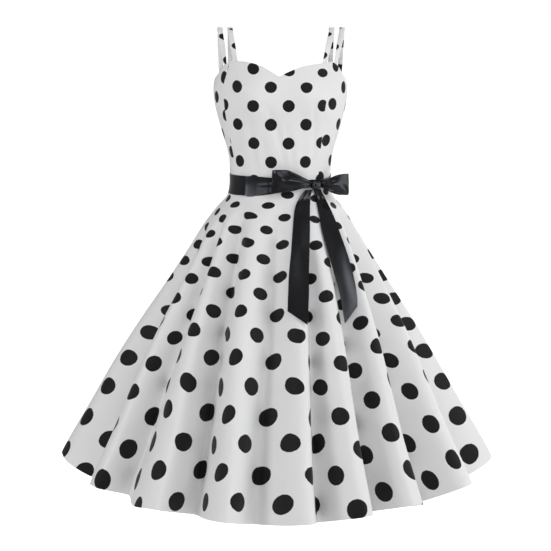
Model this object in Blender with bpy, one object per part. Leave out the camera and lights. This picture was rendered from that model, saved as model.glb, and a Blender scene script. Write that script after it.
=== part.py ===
"""A-line dress with a sweetheart bodice, double straps, a fluted skirt and a ribbon belt tied in a bow.

Metres, +Z up. The origin is on the shoulder line, midway between the strap tops: the front faces -Y,
and +X is on the right of someone who looks at the front. Angles run round the body from the front (0)
through +X (90) to the centre back (180). Every cloth piece is a closed wall of its own.
"""

import math

import bmesh
import bpy
import numpy as np

# ---------------------------------------------------------------- driving sizes
CLOTH = 0.0015  # wall of the dress cloth
RIBBON = 0.0010  # wall of the belt and bow
SEAM_GAP = 0.0003  # between pieces that meet at a seam
LAY_GAP = 0.0008  # between a wall and what lies along it
WAIST_Z = -0.370
HEM_Z = -1.055  # the level of the hem before it is lifted along HEM_LINE
FOLD_TOP_Z = -0.420  # the folds' angles are given here and at the hem
PROBE = 0.0005  # step for measuring slopes of a surface
CENTRE_BACK = 180.0


def table(columns, rows):
    """Rows of numbers as one array for each named column."""
    return dict(zip(columns, np.array(rows, float).T))


# Cross-sections of the whole dress, to the outside of the cloth and to the crests of the folds:
# the reach to each side and to the front and back.
# square is the share by which the section swells between the front, side and back.
SECTIONS = table(
    ("z", "left", "right", "front", "back", "square"),
    [
        (-0.070, 0.1405, 0.1410, 0.1080, 0.0940, 0.050),
        (-0.090, 0.1455, 0.1465, 0.1150, 0.0960, 0.050),
        (-0.108, 0.1505, 0.1515, 0.1210, 0.0980, 0.050),
        (-0.125, 0.1565, 0.1575, 0.1255, 0.1000, 0.050),
        (-0.148, 0.1585, 0.1595, 0.1270, 0.1015, 0.050),
        (-0.179, 0.1550, 0.1560, 0.1240, 0.1010, 0.050),
        (-0.235, 0.1410, 0.1425, 0.1120, 0.0950, 0.045),
        (-0.305, 0.1225, 0.1240, 0.1020, 0.0880, 0.040),
        (-0.345, 0.1200, 0.1210, 0.1000, 0.0880, 0.035),
        (-0.370, 0.1200, 0.1205, 0.1015, 0.0900, 0.030),
        (-0.392, 0.1245, 0.1240, 0.1060, 0.0940, 0.030),
        (-0.430, 0.1560, 0.1530, 0.1460, 0.1260, 0.010),
        (-0.470, 0.1860, 0.1810, 0.1800, 0.1560, 0.000),
        (-0.520, 0.2180, 0.2110, 0.2180, 0.1900, 0.000),
        (-0.600, 0.2720, 0.2600, 0.2700, 0.2390, 0.000),
        (-0.700, 0.3430, 0.3240, 0.3260, 0.2930, 0.000),
        (-0.800, 0.4090, 0.3850, 0.3750, 0.3410, 0.000),
        (-0.900, 0.4680, 0.4450, 0.4170, 0.3830, 0.000),
        (-1.000, 0.5280, 0.5060, 0.4520, 0.4190, 0.000),
        (-1.060, 0.5600, 0.5390, 0.4690, 0.4380, 0.000),
    ],
)

# The two bust cups swell the front by height, falling off over spread_x and spread_z.
CUPS = table(
    ("x", "z", "height", "spread_x", "spread_z"),
    [
        (-0.072, -0.150, 0.011, 0.042, 0.044),
        (0.074, -0.150, 0.011, 0.042, 0.044),
    ],
)

# Top edge of the bodice: a sweetheart front that steps down beside the straps to a plain back.
NECKLINE = table(
    ("angle", "z"),
    [
        (-180, -0.1300),
        (-150, -0.1270),
        (-120, -0.1210),
        (-90, -0.1150),
        (-74, -0.1060),
        (-64, -0.0890),
        (-52, -0.0780),
        (-34, -0.0756),
        (-16, -0.0870),
        (-6, -0.1010),
        (-1, -0.1080),
        (5, -0.1010),
        (17, -0.0890),
        (42, -0.0794),
        (54, -0.0780),
        (64, -0.0870),
        (74, -0.1060),
        (90, -0.1150),
        (120, -0.1210),
        (150, -0.1270),
        (180, -0.1300),
    ],
)

# The hem hangs lower at the front and back than at the sides.
HEM_LINE = table(
    ("angle", "z"),
    [
        (-180, -1.0450),
        (-125, -1.0330),
        (-90, -1.0250),
        (-81, -1.0240),
        (-69, -1.0420),
        (-58, -1.0350),
        (-50, -1.0350),
        (-42, -1.0500),
        (-30, -1.0470),
        (-20, -1.0530),
        (2, -1.0590),
        (20, -1.0510),
        (35, -1.0440),
        (45, -1.0540),
        (56, -1.0400),
        (68, -1.0550),
        (83, -1.0360),
        (125, -1.0360),
        (180, -1.0450),
    ],
)

# Seams of the bodice: the angle of each at some heights.
PRINCESS_LEFT = table(("z", "angle"), [(-0.08, -53), (-0.18, -53.5), (-0.275, -59.5), (-0.37, -60)])
PRINCESS_RIGHT = table(("z", "angle"), [(-0.08, 50), (-0.12, 43.5), (-0.205, 40), (-0.265, 44), (-0.37, 47)])
SIDE_LEFT = table(("z", "angle"), [(-0.08, -90), (-0.37, -90)])
SIDE_RIGHT = table(("z", "angle"), [(-0.08, 90), (-0.37, 90)])
BACK_LEFT = table(("z", "angle"), [(-0.08, -180), (-0.37, -180)])
BACK_RIGHT = table(("z", "angle"), [(-0.08, 180), (-0.37, 180)])

# One row for each fold of the skirt, going round: its crest, then the trough on the crest's far side.
# depth is from crest to trough at the hem, and it starts from nothing at start_z.
FOLDS = table(
    ("crest_hem", "crest_top", "trough_hem", "trough_top", "depth", "start_z"),
    [
        (-82.0, -90, -68.0, -77, 0.085, -0.47),
        (-51.0, -67, -48.0, -57, 0.080, -0.44),
        (-30.5, -49, -25.2, -39, 0.112, -0.42),
        (-12.5, -23, -7.0, -1, 0.090, -0.41),
        (6.5, 14, 10.6, 23, 0.092, -0.48),
        (20.5, 30, 27.4, 47, 0.100, -0.44),
        (34.5, 60, 45.5, 70, 0.124, -0.42),
        (56.0, 87, 69.0, 98, 0.118, -0.44),
        (83.0, 108, 94.0, 116, 0.090, -0.46),
        (104.0, 124, 113.0, 131, 0.104, -0.43),
        (124.0, 138, 133.0, 146, 0.092, -0.46),
        (145.0, 154, 156.0, 163, 0.106, -0.42),
        (168.0, 171, 180.0, 180, 0.086, -0.48),
        (192.0, 190, 203.0, 199, 0.104, -0.43),
        (214.0, 208, 225.0, 218, 0.094, -0.45),
        (237.0, 228, 247.0, 239, 0.106, -0.43),
        (254.0, 249, 266.0, 264, 0.076, -0.48),
    ],
)
# Height of the cloth between a trough (0) and the next crest, and from the crest down to its trough.
RISE = ((0.00, 0.00), (0.12, 0.08), (0.30, 0.31), (0.52, 0.61), (0.74, 0.87), (0.90, 0.98))
FALL = ((0.00, 1.00), (0.28, 0.92), (0.56, 0.62), (0.82, 0.16))
FOLD_COLUMNS = len(RISE) + len(FALL)
FOLD_GROWTH = 0.55  # under 1 lets the folds deepen quickly below the waist
TROUGH_HANG = 0.36  # a trough stands in from the crests, so it hangs lower by this share of its depth
SKIRT_ROWS_Z = (-0.381, -0.392, -0.430, -0.470, -0.520, -0.590, -0.670, -0.760, -0.855, -0.955, HEM_Z)

# Gores of the skirt: the folds of each, counted from the left side seam.
GORES = (
    ("skirt_side_front_left", 0, 2),
    ("skirt_front", 2, 7),
    ("skirt_side_front_right", 7, 9),
    ("skirt_side_back_right", 9, 11),
    ("skirt_back_right", 11, 13),
    ("skirt_back_left", 13, 15),
    ("skirt_side_back_left", 15, 17),
)

# Panels of the bodice, each between two seams, and its number of columns.
PANELS = (
    ("bodice_back_left", BACK_LEFT, SIDE_LEFT, 17),
    ("bodice_side_left", SIDE_LEFT, PRINCESS_LEFT, 8),
    ("bodice_front", PRINCESS_LEFT, PRINCESS_RIGHT, 23),
    ("bodice_side_right", PRINCESS_RIGHT, SIDE_RIGHT, 10),
    ("bodice_back_right", SIDE_RIGHT, BACK_RIGHT, 17),
)
BODICE_ROWS = 13
ROW_CROWDING = 1.35  # over 1 puts the rows closer together near the top edge
TOP_EDGE_TURNS = 8  # rounds of finding where the seams meet the top edge

# Straps: angle of the front and back ends on the top edge, and where each crosses the shoulder.
STRAP_WIDTH = 0.0125
STRAP_THICKNESS = 0.0020
STRAP_TUCK = 0.012  # length of each end inside the bodice
STRAP_SEAT = 0.0011  # extra clearance inside the bodice, whose wall is made of flats
STRAP_STEPS = 16
STRAPS = (
    ("strap_left_outer", -61.0, -114.0, -0.1420),
    ("strap_left_inner", -45.0, -131.0, -0.1180),
    ("strap_right_inner", 44.0, 131.0, 0.1215),
    ("strap_right_outer", 61.5, 114.0, 0.1460),
)

# Belt: a ribbon round the waist, gathered where it goes into the knot.
BELT_HALF_WIDTH = 0.0235
BELT_Z = -0.3680
KNOT_ANGLE = 39.5
GATHER_ANGLE = 52.0  # how far the gathering reaches on each side of the knot
GATHERED_HALF_WIDTH = 0.0090
GATHERED_RISE = 0.0080  # the belt's middle rises by this at the knot
BELT_COLUMNS = 72
BELT_ROWS = 5

KNOT_SIZE = (0.0260, 0.0130, 0.0190)  # along the belt, out from it, and high
KNOT_ROUNDING = 0.28  # share of each size that the rounded edges take
KNOT_SEGMENTS = 3
KNOT_Z = -0.3635
TAIL_LIFT = 0.0030  # the hanging ends lie this far off the crests of the folds

# Bow loops: the middle line of each from the knot to its end, its half height, and how far it stands open.
LOOP_COLUMNS = ("x", "y", "z", "half_height", "opening")
LOOP_LEFT = table(
    LOOP_COLUMNS,
    [
        (0.0721, -0.0946, -0.3605, 0.0065, 0.0036),
        (0.0600, -0.1018, -0.3560, 0.0100, 0.0080),
        (0.0420, -0.1090, -0.3530, 0.0168, 0.0110),
        (0.0200, -0.1155, -0.3497, 0.0243, 0.0120),
        (-0.0020, -0.1175, -0.3503, 0.0262, 0.0105),
        (-0.0170, -0.1170, -0.3514, 0.0270, 0.0070),
    ],
)
LOOP_RIGHT = table(
    LOOP_COLUMNS,
    [
        (0.0970, -0.0795, -0.3630, 0.0065, 0.0036),
        (0.1065, -0.0810, -0.3638, 0.0095, 0.0080),
        (0.1180, -0.0795, -0.3640, 0.0165, 0.0105),
        (0.1340, -0.0745, -0.3640, 0.0225, 0.0110),
        (0.1485, -0.0680, -0.3637, 0.0245, 0.0090),
        (0.1595, -0.0620, -0.3640, 0.0252, 0.0065),
    ],
)
LOOP_END_STEPS = 4

# Hanging ends of the bow: the two edges at some heights, and how far the outer edge stands off.
TAIL_STEPS = 5  # points across each end
TAIL_COLUMNS = ("left_x", "left_z", "right_x", "right_z", "right_lift")
TAIL_LEFT = table(
    TAIL_COLUMNS,
    [
        (0.0590, -0.3734, 0.0765, -0.3734, 0.000),
        (0.0480, -0.3860, 0.0722, -0.3870, 0.000),
        (0.0343, -0.4113, 0.0694, -0.4128, 0.000),
        (0.0283, -0.4561, 0.0685, -0.4577, 0.000),
        (0.0243, -0.5012, 0.0669, -0.5027, 0.001),
        (0.0195, -0.5440, 0.0649, -0.5455, 0.002),
        (0.0171, -0.5889, 0.0644, -0.5903, 0.003),
        (0.0158, -0.6222, 0.0607, -0.6498, 0.004),
    ],
)
TAIL_RIGHT = table(
    TAIL_COLUMNS,
    [
        (0.0790, -0.3734, 0.0950, -0.3734, 0.000),
        (0.0820, -0.3860, 0.1015, -0.3870, 0.001),
        (0.0903, -0.4263, 0.1240, -0.4300, 0.003),
        (0.0966, -0.4597, 0.1373, -0.4640, 0.007),
        (0.1097, -0.5059, 0.1547, -0.5110, 0.011),
        (0.1227, -0.5500, 0.1675, -0.5546, 0.012),
        (0.1356, -0.5960, 0.1754, -0.6000, 0.008),
        (0.1458, -0.6555, 0.1759, -0.6225, 0.004),
    ],
)

# Concealed zip: the tape lies inside the back, and the slider with its pull tab outside at the top.
ZIP_ROWS_Z = (-0.1315, -0.140, -0.155, -0.18, -0.215, -0.26, -0.305, -0.345, -0.37, -0.381, -0.392, -0.43)
TAPE_WIDTH = 0.0240
TAPE_COLUMNS = 5
TAPE_THICKNESS = 0.0010
SLIDER_Z = -0.1400
SLIDER_GAP = 0.0005  # to the back, which slopes a little behind it
SLIDER_WIDTH = 0.0060
SLIDER_HEIGHT = 0.0090
SLIDER_DEPTH = 0.0022
BAIL_WIDTH = 0.0018
BAIL_WIRE = 0.0010
BAIL_EYE_DEPTH = 0.0022
BAIL_EYE_HEIGHT = 0.0030
TAB_WIDTH = 0.0068
TAB_TIP_WIDTH = 0.0044
TAB_LENGTH = 0.0240
TAB_THICKNESS = 0.0012
TAB_BAR = 0.0013  # the crossbar under the bail
TAB_EYE_WIDTH = 0.0032
TAB_EYE_HEIGHT = 0.0034
SMALL_BEVEL = 0.0002


# ---------------------------------------------------------------- curves and surfaces
def smooth(column, rows, at):
    """Value of a column along the rows' z or angle, on a smooth curve through the rows."""
    keys = rows["z"] if column != "z" else rows["angle"]
    order = np.argsort(keys)
    xs, ys = keys[order], rows[column][order]
    slopes = np.gradient(ys, xs)
    at = np.clip(np.asarray(at, float), xs[0], xs[-1])
    i = np.clip(np.searchsorted(xs, at, side="right") - 1, 0, len(xs) - 2)
    step = xs[i + 1] - xs[i]
    t = (at - xs[i]) / step
    start = ys[i] * (1 + 2 * t) * (1 - t) ** 2 + slopes[i] * step * t * (1 - t) ** 2
    end = ys[i + 1] * t * t * (3 - 2 * t) + slopes[i + 1] * step * t * t * (t - 1)
    return start + end


def envelope(angle, z):
    """Point of the dress's outside at an angle (degrees) and height, over the crests of any folds."""
    turn = np.radians(angle)
    reach = np.where(np.sin(turn) > 0, smooth("right", SECTIONS, z), smooth("left", SECTIONS, z))
    depth = np.where(np.cos(turn) > 0, smooth("front", SECTIONS, z), smooth("back", SECTIONS, z))
    swell = 1 + smooth("square", SECTIONS, z) * np.sin(2 * turn) ** 2
    x = reach * np.sin(turn) * swell
    y = -depth * np.cos(turn) * swell
    for cup in range(len(CUPS["x"])):
        away = ((x - CUPS["x"][cup]) / CUPS["spread_x"][cup]) ** 2
        away = away + ((z - CUPS["z"][cup]) / CUPS["spread_z"][cup]) ** 2
        y = y - np.where(np.cos(turn) > 0, CUPS["height"][cup] * np.exp(-away), 0)
    return np.stack(np.broadcast_arrays(x, y, z), axis=-1)


def normal_from(along, down):
    """Unit normals that point outwards, from steps along the angle and down the cloth."""
    normals = np.cross(down, along)
    return normals / np.linalg.norm(normals, axis=-1, keepdims=True)


def envelope_normal(angle, z):
    along = envelope(angle + 0.5, z) - envelope(angle - 0.5, z)
    down = envelope(angle, z - PROBE) - envelope(angle, z + PROBE)
    return normal_from(along, down)


def envelope_y(x, z, lift):
    """The y of a point in front of the skirt's crests, lift away from them."""
    reach = smooth("right" if x > 0 else "left", SECTIONS, z) + lift
    front = smooth("front", SECTIONS, z) + lift
    swell = 1 + smooth("square", SECTIONS, z)
    return -front * swell * math.sqrt(max(0.0, 1 - (x / (reach * swell)) ** 2))


def neckline_z(angle):
    return smooth("z", NECKLINE, angle)


def seam_angle(seam, z):
    return smooth("angle", seam, z)


# ---------------------------------------------------------------- meshes
def material(name, color, roughness):
    made = bpy.data.materials.new(name)
    made.use_nodes = True
    shader = made.node_tree.nodes["Principled BSDF"]
    shader.inputs["Base Color"].default_value = (*color, 1)
    shader.inputs["Roughness"].default_value = roughness
    made.diffuse_color = (*color, 1)
    return made


def add_object(name, mesh, finish):
    """Turns a bmesh into a named object of the scene."""
    data = bpy.data.meshes.new(name)
    mesh.to_mesh(data)
    mesh.free()
    data.materials.append(finish)
    made = bpy.data.objects.new(name, data)
    bpy.context.scene.collection.objects.link(made)
    return made


def wall(name, outer, inner, finish, goes_round=False):
    """A closed wall between two grids of points, whose rows go down and whose columns go round."""
    mesh = bmesh.new()
    front = [[mesh.verts.new(point) for point in row] for row in outer]
    rear = [[mesh.verts.new(point) for point in row] for row in inner]
    columns = len(front[0])
    for this in range(columns if goes_round else columns - 1):
        beside = (this + 1) % columns
        for row, below, rear_row, rear_below in zip(front, front[1:], rear, rear[1:]):
            mesh.faces.new((row[this], below[this], below[beside], row[beside]))
            mesh.faces.new((rear_row[beside], rear_below[beside], rear_below[this], rear_row[this]))
        mesh.faces.new((front[0][this], front[0][beside], rear[0][beside], rear[0][this]))
        mesh.faces.new((front[-1][beside], front[-1][this], rear[-1][this], rear[-1][beside]))
    for column, order in () if goes_round else ((0, 1), (columns - 1, -1)):
        for row, below, rear_row, rear_below in zip(front, front[1:], rear, rear[1:]):
            corners = (row[column], rear_row[column], rear_below[column], below[column])
            mesh.faces.new(corners[::order])
    return add_object(name, mesh, finish)


def part_edges(points, half_gap):
    """Moves the first and last column of a grid inwards, so that it stands half a gap from the seam."""
    points = points.copy()
    for column, neighbour in ((0, 1), (-1, -2)):
        step = points[:, neighbour] - points[:, column]
        points[:, column] += half_gap * step / np.linalg.norm(step, axis=-1, keepdims=True)
    return points


# ---------------------------------------------------------------- bodice
def panel_angles(seam_from, seam_to, columns):
    """Angle and height of each point of a panel: rows from the top edge down to the waist seam."""
    share = np.linspace(0, 1, columns)
    top_z = np.full(columns, NECKLINE["z"].mean())
    for _ in range(TOP_EDGE_TURNS):  # a slanting seam and the top edge each depend on the other
        start, end = seam_angle(seam_from, top_z), seam_angle(seam_to, top_z)
        top_z = neckline_z(start + (end - start) * share)
    waist = WAIST_Z + SEAM_GAP / 2
    down = np.linspace(0, 1, BODICE_ROWS)[:, None] ** ROW_CROWDING
    z = top_z + (waist - top_z) * down
    start, end = seam_angle(seam_from, z), seam_angle(seam_to, z)
    return start + (end - start) * share, z


def make_bodice(finish):
    for name, seam_from, seam_to, columns in PANELS:
        angle, z = panel_angles(seam_from, seam_to, columns)
        outer = part_edges(envelope(angle, z), SEAM_GAP / 2)
        inner = outer - CLOTH * envelope_normal(angle, z)
        wall(name, outer, inner, finish)


# ---------------------------------------------------------------- skirt
def fold_angles(z):
    """Angle and height (0 trough, 1 crest) of each column round the skirt, and its troughs' depth."""
    toward_top = np.clip((HEM_Z - z) / (HEM_Z - FOLD_TOP_Z), 0, 1) ** 2
    crest = FOLDS["crest_hem"] + (FOLDS["crest_top"] - FOLDS["crest_hem"]) * toward_top
    trough = FOLDS["trough_hem"] + (FOLDS["trough_top"] - FOLDS["trough_hem"]) * toward_top
    grown = np.clip((FOLDS["start_z"] - z) / (FOLDS["start_z"] - HEM_Z), 0, 1) ** FOLD_GROWTH
    depth = FOLDS["depth"] * grown
    angles, drops = [], []
    for fold in range(len(crest)):
        before = trough[fold - 1] - (360 if fold == 0 else 0)
        for share, height in RISE:
            angles.append(before + (crest[fold] - before) * share)
            drops.append(depth[fold - 1] * (1 - height))
        for share, height in FALL:
            angles.append(crest[fold] + (trough[fold] - crest[fold]) * share)
            drops.append(depth[fold] * (1 - height))
    return np.array(angles), np.array(drops)


def skirt_grid():
    """Outer points of the whole skirt, closed round, and the outward normals."""
    rows = []
    for z in (WAIST_Z - SEAM_GAP / 2,) + SKIRT_ROWS_Z:
        angles, drops = fold_angles(z)
        lift = smooth("z", HEM_LINE, (angles + 180) % 360 - 180) - HEM_Z
        hung = z + lift * np.clip((z - FOLD_TOP_Z) / (HEM_Z - FOLD_TOP_Z), 0, 1) ** 2
        crest_points = envelope(angles, hung)
        level = envelope_normal(angles, hung) * (1, 1, 0)
        level = level / np.linalg.norm(level, axis=-1, keepdims=True)
        rows.append(crest_points - drops[:, None] * (level + (0, 0, TROUGH_HANG)))
    points = np.array(rows)
    along = np.roll(points, -1, axis=1) - np.roll(points, 1, axis=1)
    down = np.gradient(points, axis=0)
    return points, normal_from(along, down)


def make_skirt(finish):
    points, normals = skirt_grid()
    for name, first_fold, last_fold in GORES:
        columns = np.arange(first_fold * FOLD_COLUMNS, last_fold * FOLD_COLUMNS + 1) % points.shape[1]
        outer = part_edges(points[:, columns], SEAM_GAP / 2)
        wall(name, outer, outer - CLOTH * normals[:, columns], finish)


# ---------------------------------------------------------------- straps
def strap_end(angle):
    """Points inside the bodice at one end of a strap, from its tip up to the top edge, and its breadth."""
    inset = CLOTH + SEAM_GAP + STRAP_SEAT + STRAP_THICKNESS / 2
    z = neckline_z(angle) - STRAP_TUCK * np.array([1.0, 0.5, 0.0])
    points = envelope(np.full(3, angle), z) - inset * envelope_normal(np.full(3, angle), z)
    breadth = envelope(angle + 1, z[0]) - envelope(angle - 1, z[0])
    return points, breadth / np.linalg.norm(breadth)


def make_strap(name, front_angle, back_angle, shoulder_x, finish):
    front, front_breadth = strap_end(front_angle)
    back, back_breadth = strap_end(back_angle)
    start, end = front[-1], back[-1]
    path, breadths = list(front), [front_breadth] * len(front)
    for step in range(1, STRAP_STEPS):
        turn = math.pi * step / STRAP_STEPS
        rise = math.sin(turn)
        foot, foot_breadth = (start, front_breadth) if turn < math.pi / 2 else (end, -back_breadth)
        y = (start[1] + end[1]) / 2 - (end[1] - start[1]) / 2 * math.cos(turn)
        path.append(np.array([foot[0] + (shoulder_x - foot[0]) * rise, y, foot[2] * (1 - rise)]))
        breadths.append(foot_breadth * (1 - rise) ** 2 + np.array([1.0, 0, 0]) * (1 - (1 - rise) ** 2))
    path += list(back[::-1])
    breadths += [-back_breadth] * len(back)
    path, breadths = np.array(path), np.array(breadths)
    tangents = np.gradient(path, axis=0)
    tangents /= np.linalg.norm(tangents, axis=1, keepdims=True)
    breadths -= np.sum(breadths * tangents, axis=1, keepdims=True) * tangents
    breadths /= np.linalg.norm(breadths, axis=1, keepdims=True)
    outward = np.cross(breadths, tangents)
    side = breadths * STRAP_WIDTH / 2
    lines = np.stack([path - side, path + side], axis=1)
    thick = (outward * STRAP_THICKNESS / 2)[:, None]
    wall(name, lines - thick, lines + thick, finish)


# ---------------------------------------------------------------- belt and bow
def make_belt(finish):
    angles = KNOT_ANGLE + np.arange(BELT_COLUMNS) * 360 / BELT_COLUMNS
    away = np.minimum(np.abs(angles - KNOT_ANGLE), 360 - np.abs(angles - KNOT_ANGLE))
    gather = 0.5 + 0.5 * np.cos(np.pi * np.clip(away / GATHER_ANGLE, 0, 1))
    half = BELT_HALF_WIDTH + (GATHERED_HALF_WIDTH - BELT_HALF_WIDTH) * gather
    middle = BELT_Z + GATHERED_RISE * gather
    z = middle + half * np.linspace(1, -1, BELT_ROWS)[:, None]
    angles = np.broadcast_to(angles, z.shape)
    points, normals = envelope(angles, z), envelope_normal(angles, z)
    inner = points + LAY_GAP * normals
    wall("belt_ribbon", inner + RIBBON * normals, inner, finish, goes_round=True)


def make_loop(name, rows, finish):
    """A ribbon that runs out along the front of its middle line, round the end and back behind it."""
    middle = np.stack([rows["x"], rows["y"], rows["z"]], axis=1)
    tangents = np.gradient(middle, axis=0) * (1, 1, 0)
    tangents /= np.linalg.norm(tangents, axis=1, keepdims=True)
    forward = np.cross(tangents, (0, 0, 1))
    forward *= np.sign(-forward[:, 1:2])
    half_open = rows["opening"][:, None] / 2
    turns = math.pi * np.arange(1, LOOP_END_STEPS)[:, None] / LOOP_END_STEPS
    end_out = forward[-1] * np.cos(turns) + tangents[-1] * np.sin(turns)
    end = middle[-1] + half_open[-1] * end_out
    path = np.concatenate([middle + half_open * forward, end, (middle - half_open * forward)[::-1]])
    outward = np.concatenate([forward, end_out, -forward[::-1]])
    last_height = np.full(len(end), rows["half_height"][-1])
    half_height = np.concatenate([rows["half_height"], last_height, rows["half_height"][::-1]])
    up = half_height[:, None] * np.array([0, 0, 1.0])
    lines = np.stack([path + up, path, path - up])
    skins = lines + outward * RIBBON / 2, lines - outward * RIBBON / 2
    if tangents[0, 0] < 0:
        skins = [skin[:, ::-1] for skin in skins]
    wall(name, *skins, finish)


def make_tail(name, rows, finish):
    share = np.linspace(0, 1, TAIL_STEPS)
    outer, inner = [], []
    for left_x, left_z, right_x, right_z, right_lift in zip(*(rows[column] for column in TAIL_COLUMNS)):
        x = left_x + (right_x - left_x) * share
        z = left_z + (right_z - left_z) * share
        lift = TAIL_LIFT + right_lift * share**2
        inner.append([(a, envelope_y(a, b, c), b) for a, b, c in zip(x, z, lift)])
        outer.append([(a, envelope_y(a, b, c + RIBBON), b) for a, b, c in zip(x, z, lift)])
    wall(name, np.array(outer), np.array(inner), finish)


def make_knot(finish):
    """A soft block that the belt, loops and hanging ends go into."""
    mesh = bmesh.new()
    bmesh.ops.create_cube(mesh, size=1.0)
    bmesh.ops.bevel(
        mesh,
        geom=mesh.edges[:],
        offset=KNOT_ROUNDING,
        segments=KNOT_SEGMENTS,
        affect="EDGES",
        profile=0.5,
        material=-1,
    )
    for vertex in mesh.verts:
        vertex.co = [value * size for value, size in zip(vertex.co, KNOT_SIZE)]
    made = add_object("bow_knot", mesh, finish)
    seat = envelope(KNOT_ANGLE, KNOT_Z)
    out = envelope_normal(KNOT_ANGLE, KNOT_Z) * (1, 1, 0)
    out = out / np.linalg.norm(out)
    made.location = seat + out * (LAY_GAP + RIBBON + LAY_GAP + KNOT_SIZE[1] / 2)
    made.rotation_euler.z = math.atan2(out[0], -out[1])


def make_bow(finish):
    make_belt(finish)
    make_knot(finish)
    make_loop("bow_loop_left", LOOP_LEFT, finish)
    make_loop("bow_loop_right", LOOP_RIGHT, finish)
    make_tail("bow_tail_left", TAIL_LEFT, finish)
    make_tail("bow_tail_right", TAIL_RIGHT, finish)


# ---------------------------------------------------------------- zip
def cells(xs, ys, zs, filled):
    """A closed block made of the filled cells between the given x, y and z values."""
    mesh = bmesh.new()
    corners = {}

    def corner(i, j, k):
        if (i, j, k) not in corners:
            corners[i, j, k] = mesh.verts.new((xs[i], ys[j], zs[k]))
        return corners[i, j, k]

    for cell in filled:
        for axis in range(3):
            across, upward = (axis + 1) % 3, (axis + 2) % 3
            for side in (0, 1):
                beyond = list(cell)
                beyond[axis] += 1 if side else -1
                if tuple(beyond) in filled:
                    continue
                loop = []
                for a, b in ((0, 0), (1, 0), (1, 1), (0, 1)):
                    index = list(cell)
                    index[axis] += side
                    index[across] += a
                    index[upward] += b
                    loop.append(corner(*index))
                mesh.faces.new(loop if side else loop[::-1])
    return mesh


def make_tape(finish):
    z = np.array(ZIP_ROWS_Z)[:, None] * np.ones(TAPE_COLUMNS)
    reach = math.degrees(TAPE_WIDTH / 2 / float(smooth("right", SECTIONS, WAIST_Z)))
    angles = CENTRE_BACK + reach * np.linspace(-1, 1, TAPE_COLUMNS) * np.ones_like(z)
    points, normals = envelope(angles, z), envelope_normal(angles, z)
    outer = points - (CLOTH + LAY_GAP) * normals
    wall("zip_tape", outer, outer - TAPE_THICKNESS * normals, finish)


def zip_pivot():
    """Centre of the bail's eye, where the pull tab's crossbar turns about X."""
    seat = envelope(CENTRE_BACK, SLIDER_Z)
    return seat + np.array([0, SLIDER_GAP + SLIDER_DEPTH + BAIL_EYE_DEPTH / 2, 0])


def make_slider(finish):
    half, bail = SLIDER_WIDTH / 2, BAIL_WIDTH / 2
    high, eye = SLIDER_HEIGHT / 2, BAIL_EYE_HEIGHT / 2
    xs = (-half, -bail, bail, half)
    ys = np.cumsum((-BAIL_EYE_DEPTH / 2 - SLIDER_DEPTH, SLIDER_DEPTH, BAIL_EYE_DEPTH, BAIL_WIRE))
    zs = (-high, -eye - BAIL_WIRE, -eye, eye, eye + BAIL_WIRE, high)
    body = {(i, 0, k) for i in range(3) for k in range(5)}
    posts = {(1, 1, 1), (1, 1, 3)}
    bridge = {(1, 2, 1), (1, 2, 2), (1, 2, 3)}
    mesh = cells(xs, ys, zs, body | posts | bridge)
    made = add_object("zip_slider", mesh, finish)
    made.location = zip_pivot()


def make_pull(finish):
    half, eye, bar = TAB_WIDTH / 2, TAB_EYE_WIDTH / 2, TAB_BAR / 2
    xs = (-half, -eye, eye, half)
    ys = (-TAB_THICKNESS / 2, TAB_THICKNESS / 2)
    zs = (-TAB_LENGTH, -bar - TAB_EYE_HEIGHT, -bar, bar)
    filled = {(i, 0, k) for i in range(3) for k in range(3)} - {(1, 0, 1)}
    mesh = cells(xs, ys, zs, filled)
    for vertex in mesh.verts:
        if vertex.co.z < -TAB_LENGTH / 2:
            vertex.co.x *= TAB_TIP_WIDTH / TAB_WIDTH
    bmesh.ops.bevel(
        mesh, geom=mesh.edges[:], offset=SMALL_BEVEL, segments=1, affect="EDGES", profile=0.5, material=-1
    )
    made = add_object("zip_pull", mesh, finish)
    made.location = zip_pivot()


# ---------------------------------------------------------------- run
def main():
    for old in list(bpy.data.objects):
        bpy.data.objects.remove(old)
    cloth = material("dress_cloth", (0.86, 0.86, 0.86), 0.75)
    satin = material("ribbon_satin", (0.012, 0.012, 0.014), 0.35)
    tape = material("zip_tape", (0.80, 0.80, 0.80), 0.8)
    enamel = material("zip_enamel", (0.82, 0.82, 0.82), 0.35)
    make_bodice(cloth)
    make_skirt(cloth)
    for name, front_angle, back_angle, shoulder_x in STRAPS:
        make_strap(name, front_angle, back_angle, shoulder_x, cloth)
    make_bow(satin)
    make_tape(tape)
    make_slider(enamel)
    make_pull(enamel)


main()
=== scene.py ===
# %% [markdown]
# # An a-line dress with a polka-dot print
#
# The dress is white cotton cloth with black dots: a bodice of five panels, seven skirt gores that hang
# in seventeen folds, four straps, and a black satin ribbon that goes round the waist and is tied in a
# bow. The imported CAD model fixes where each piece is. Here every soft solid gets a thin cloth piece that
# is made on the same surface, with finer folds, soft creases, a woven finish and the print.

import math

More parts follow.
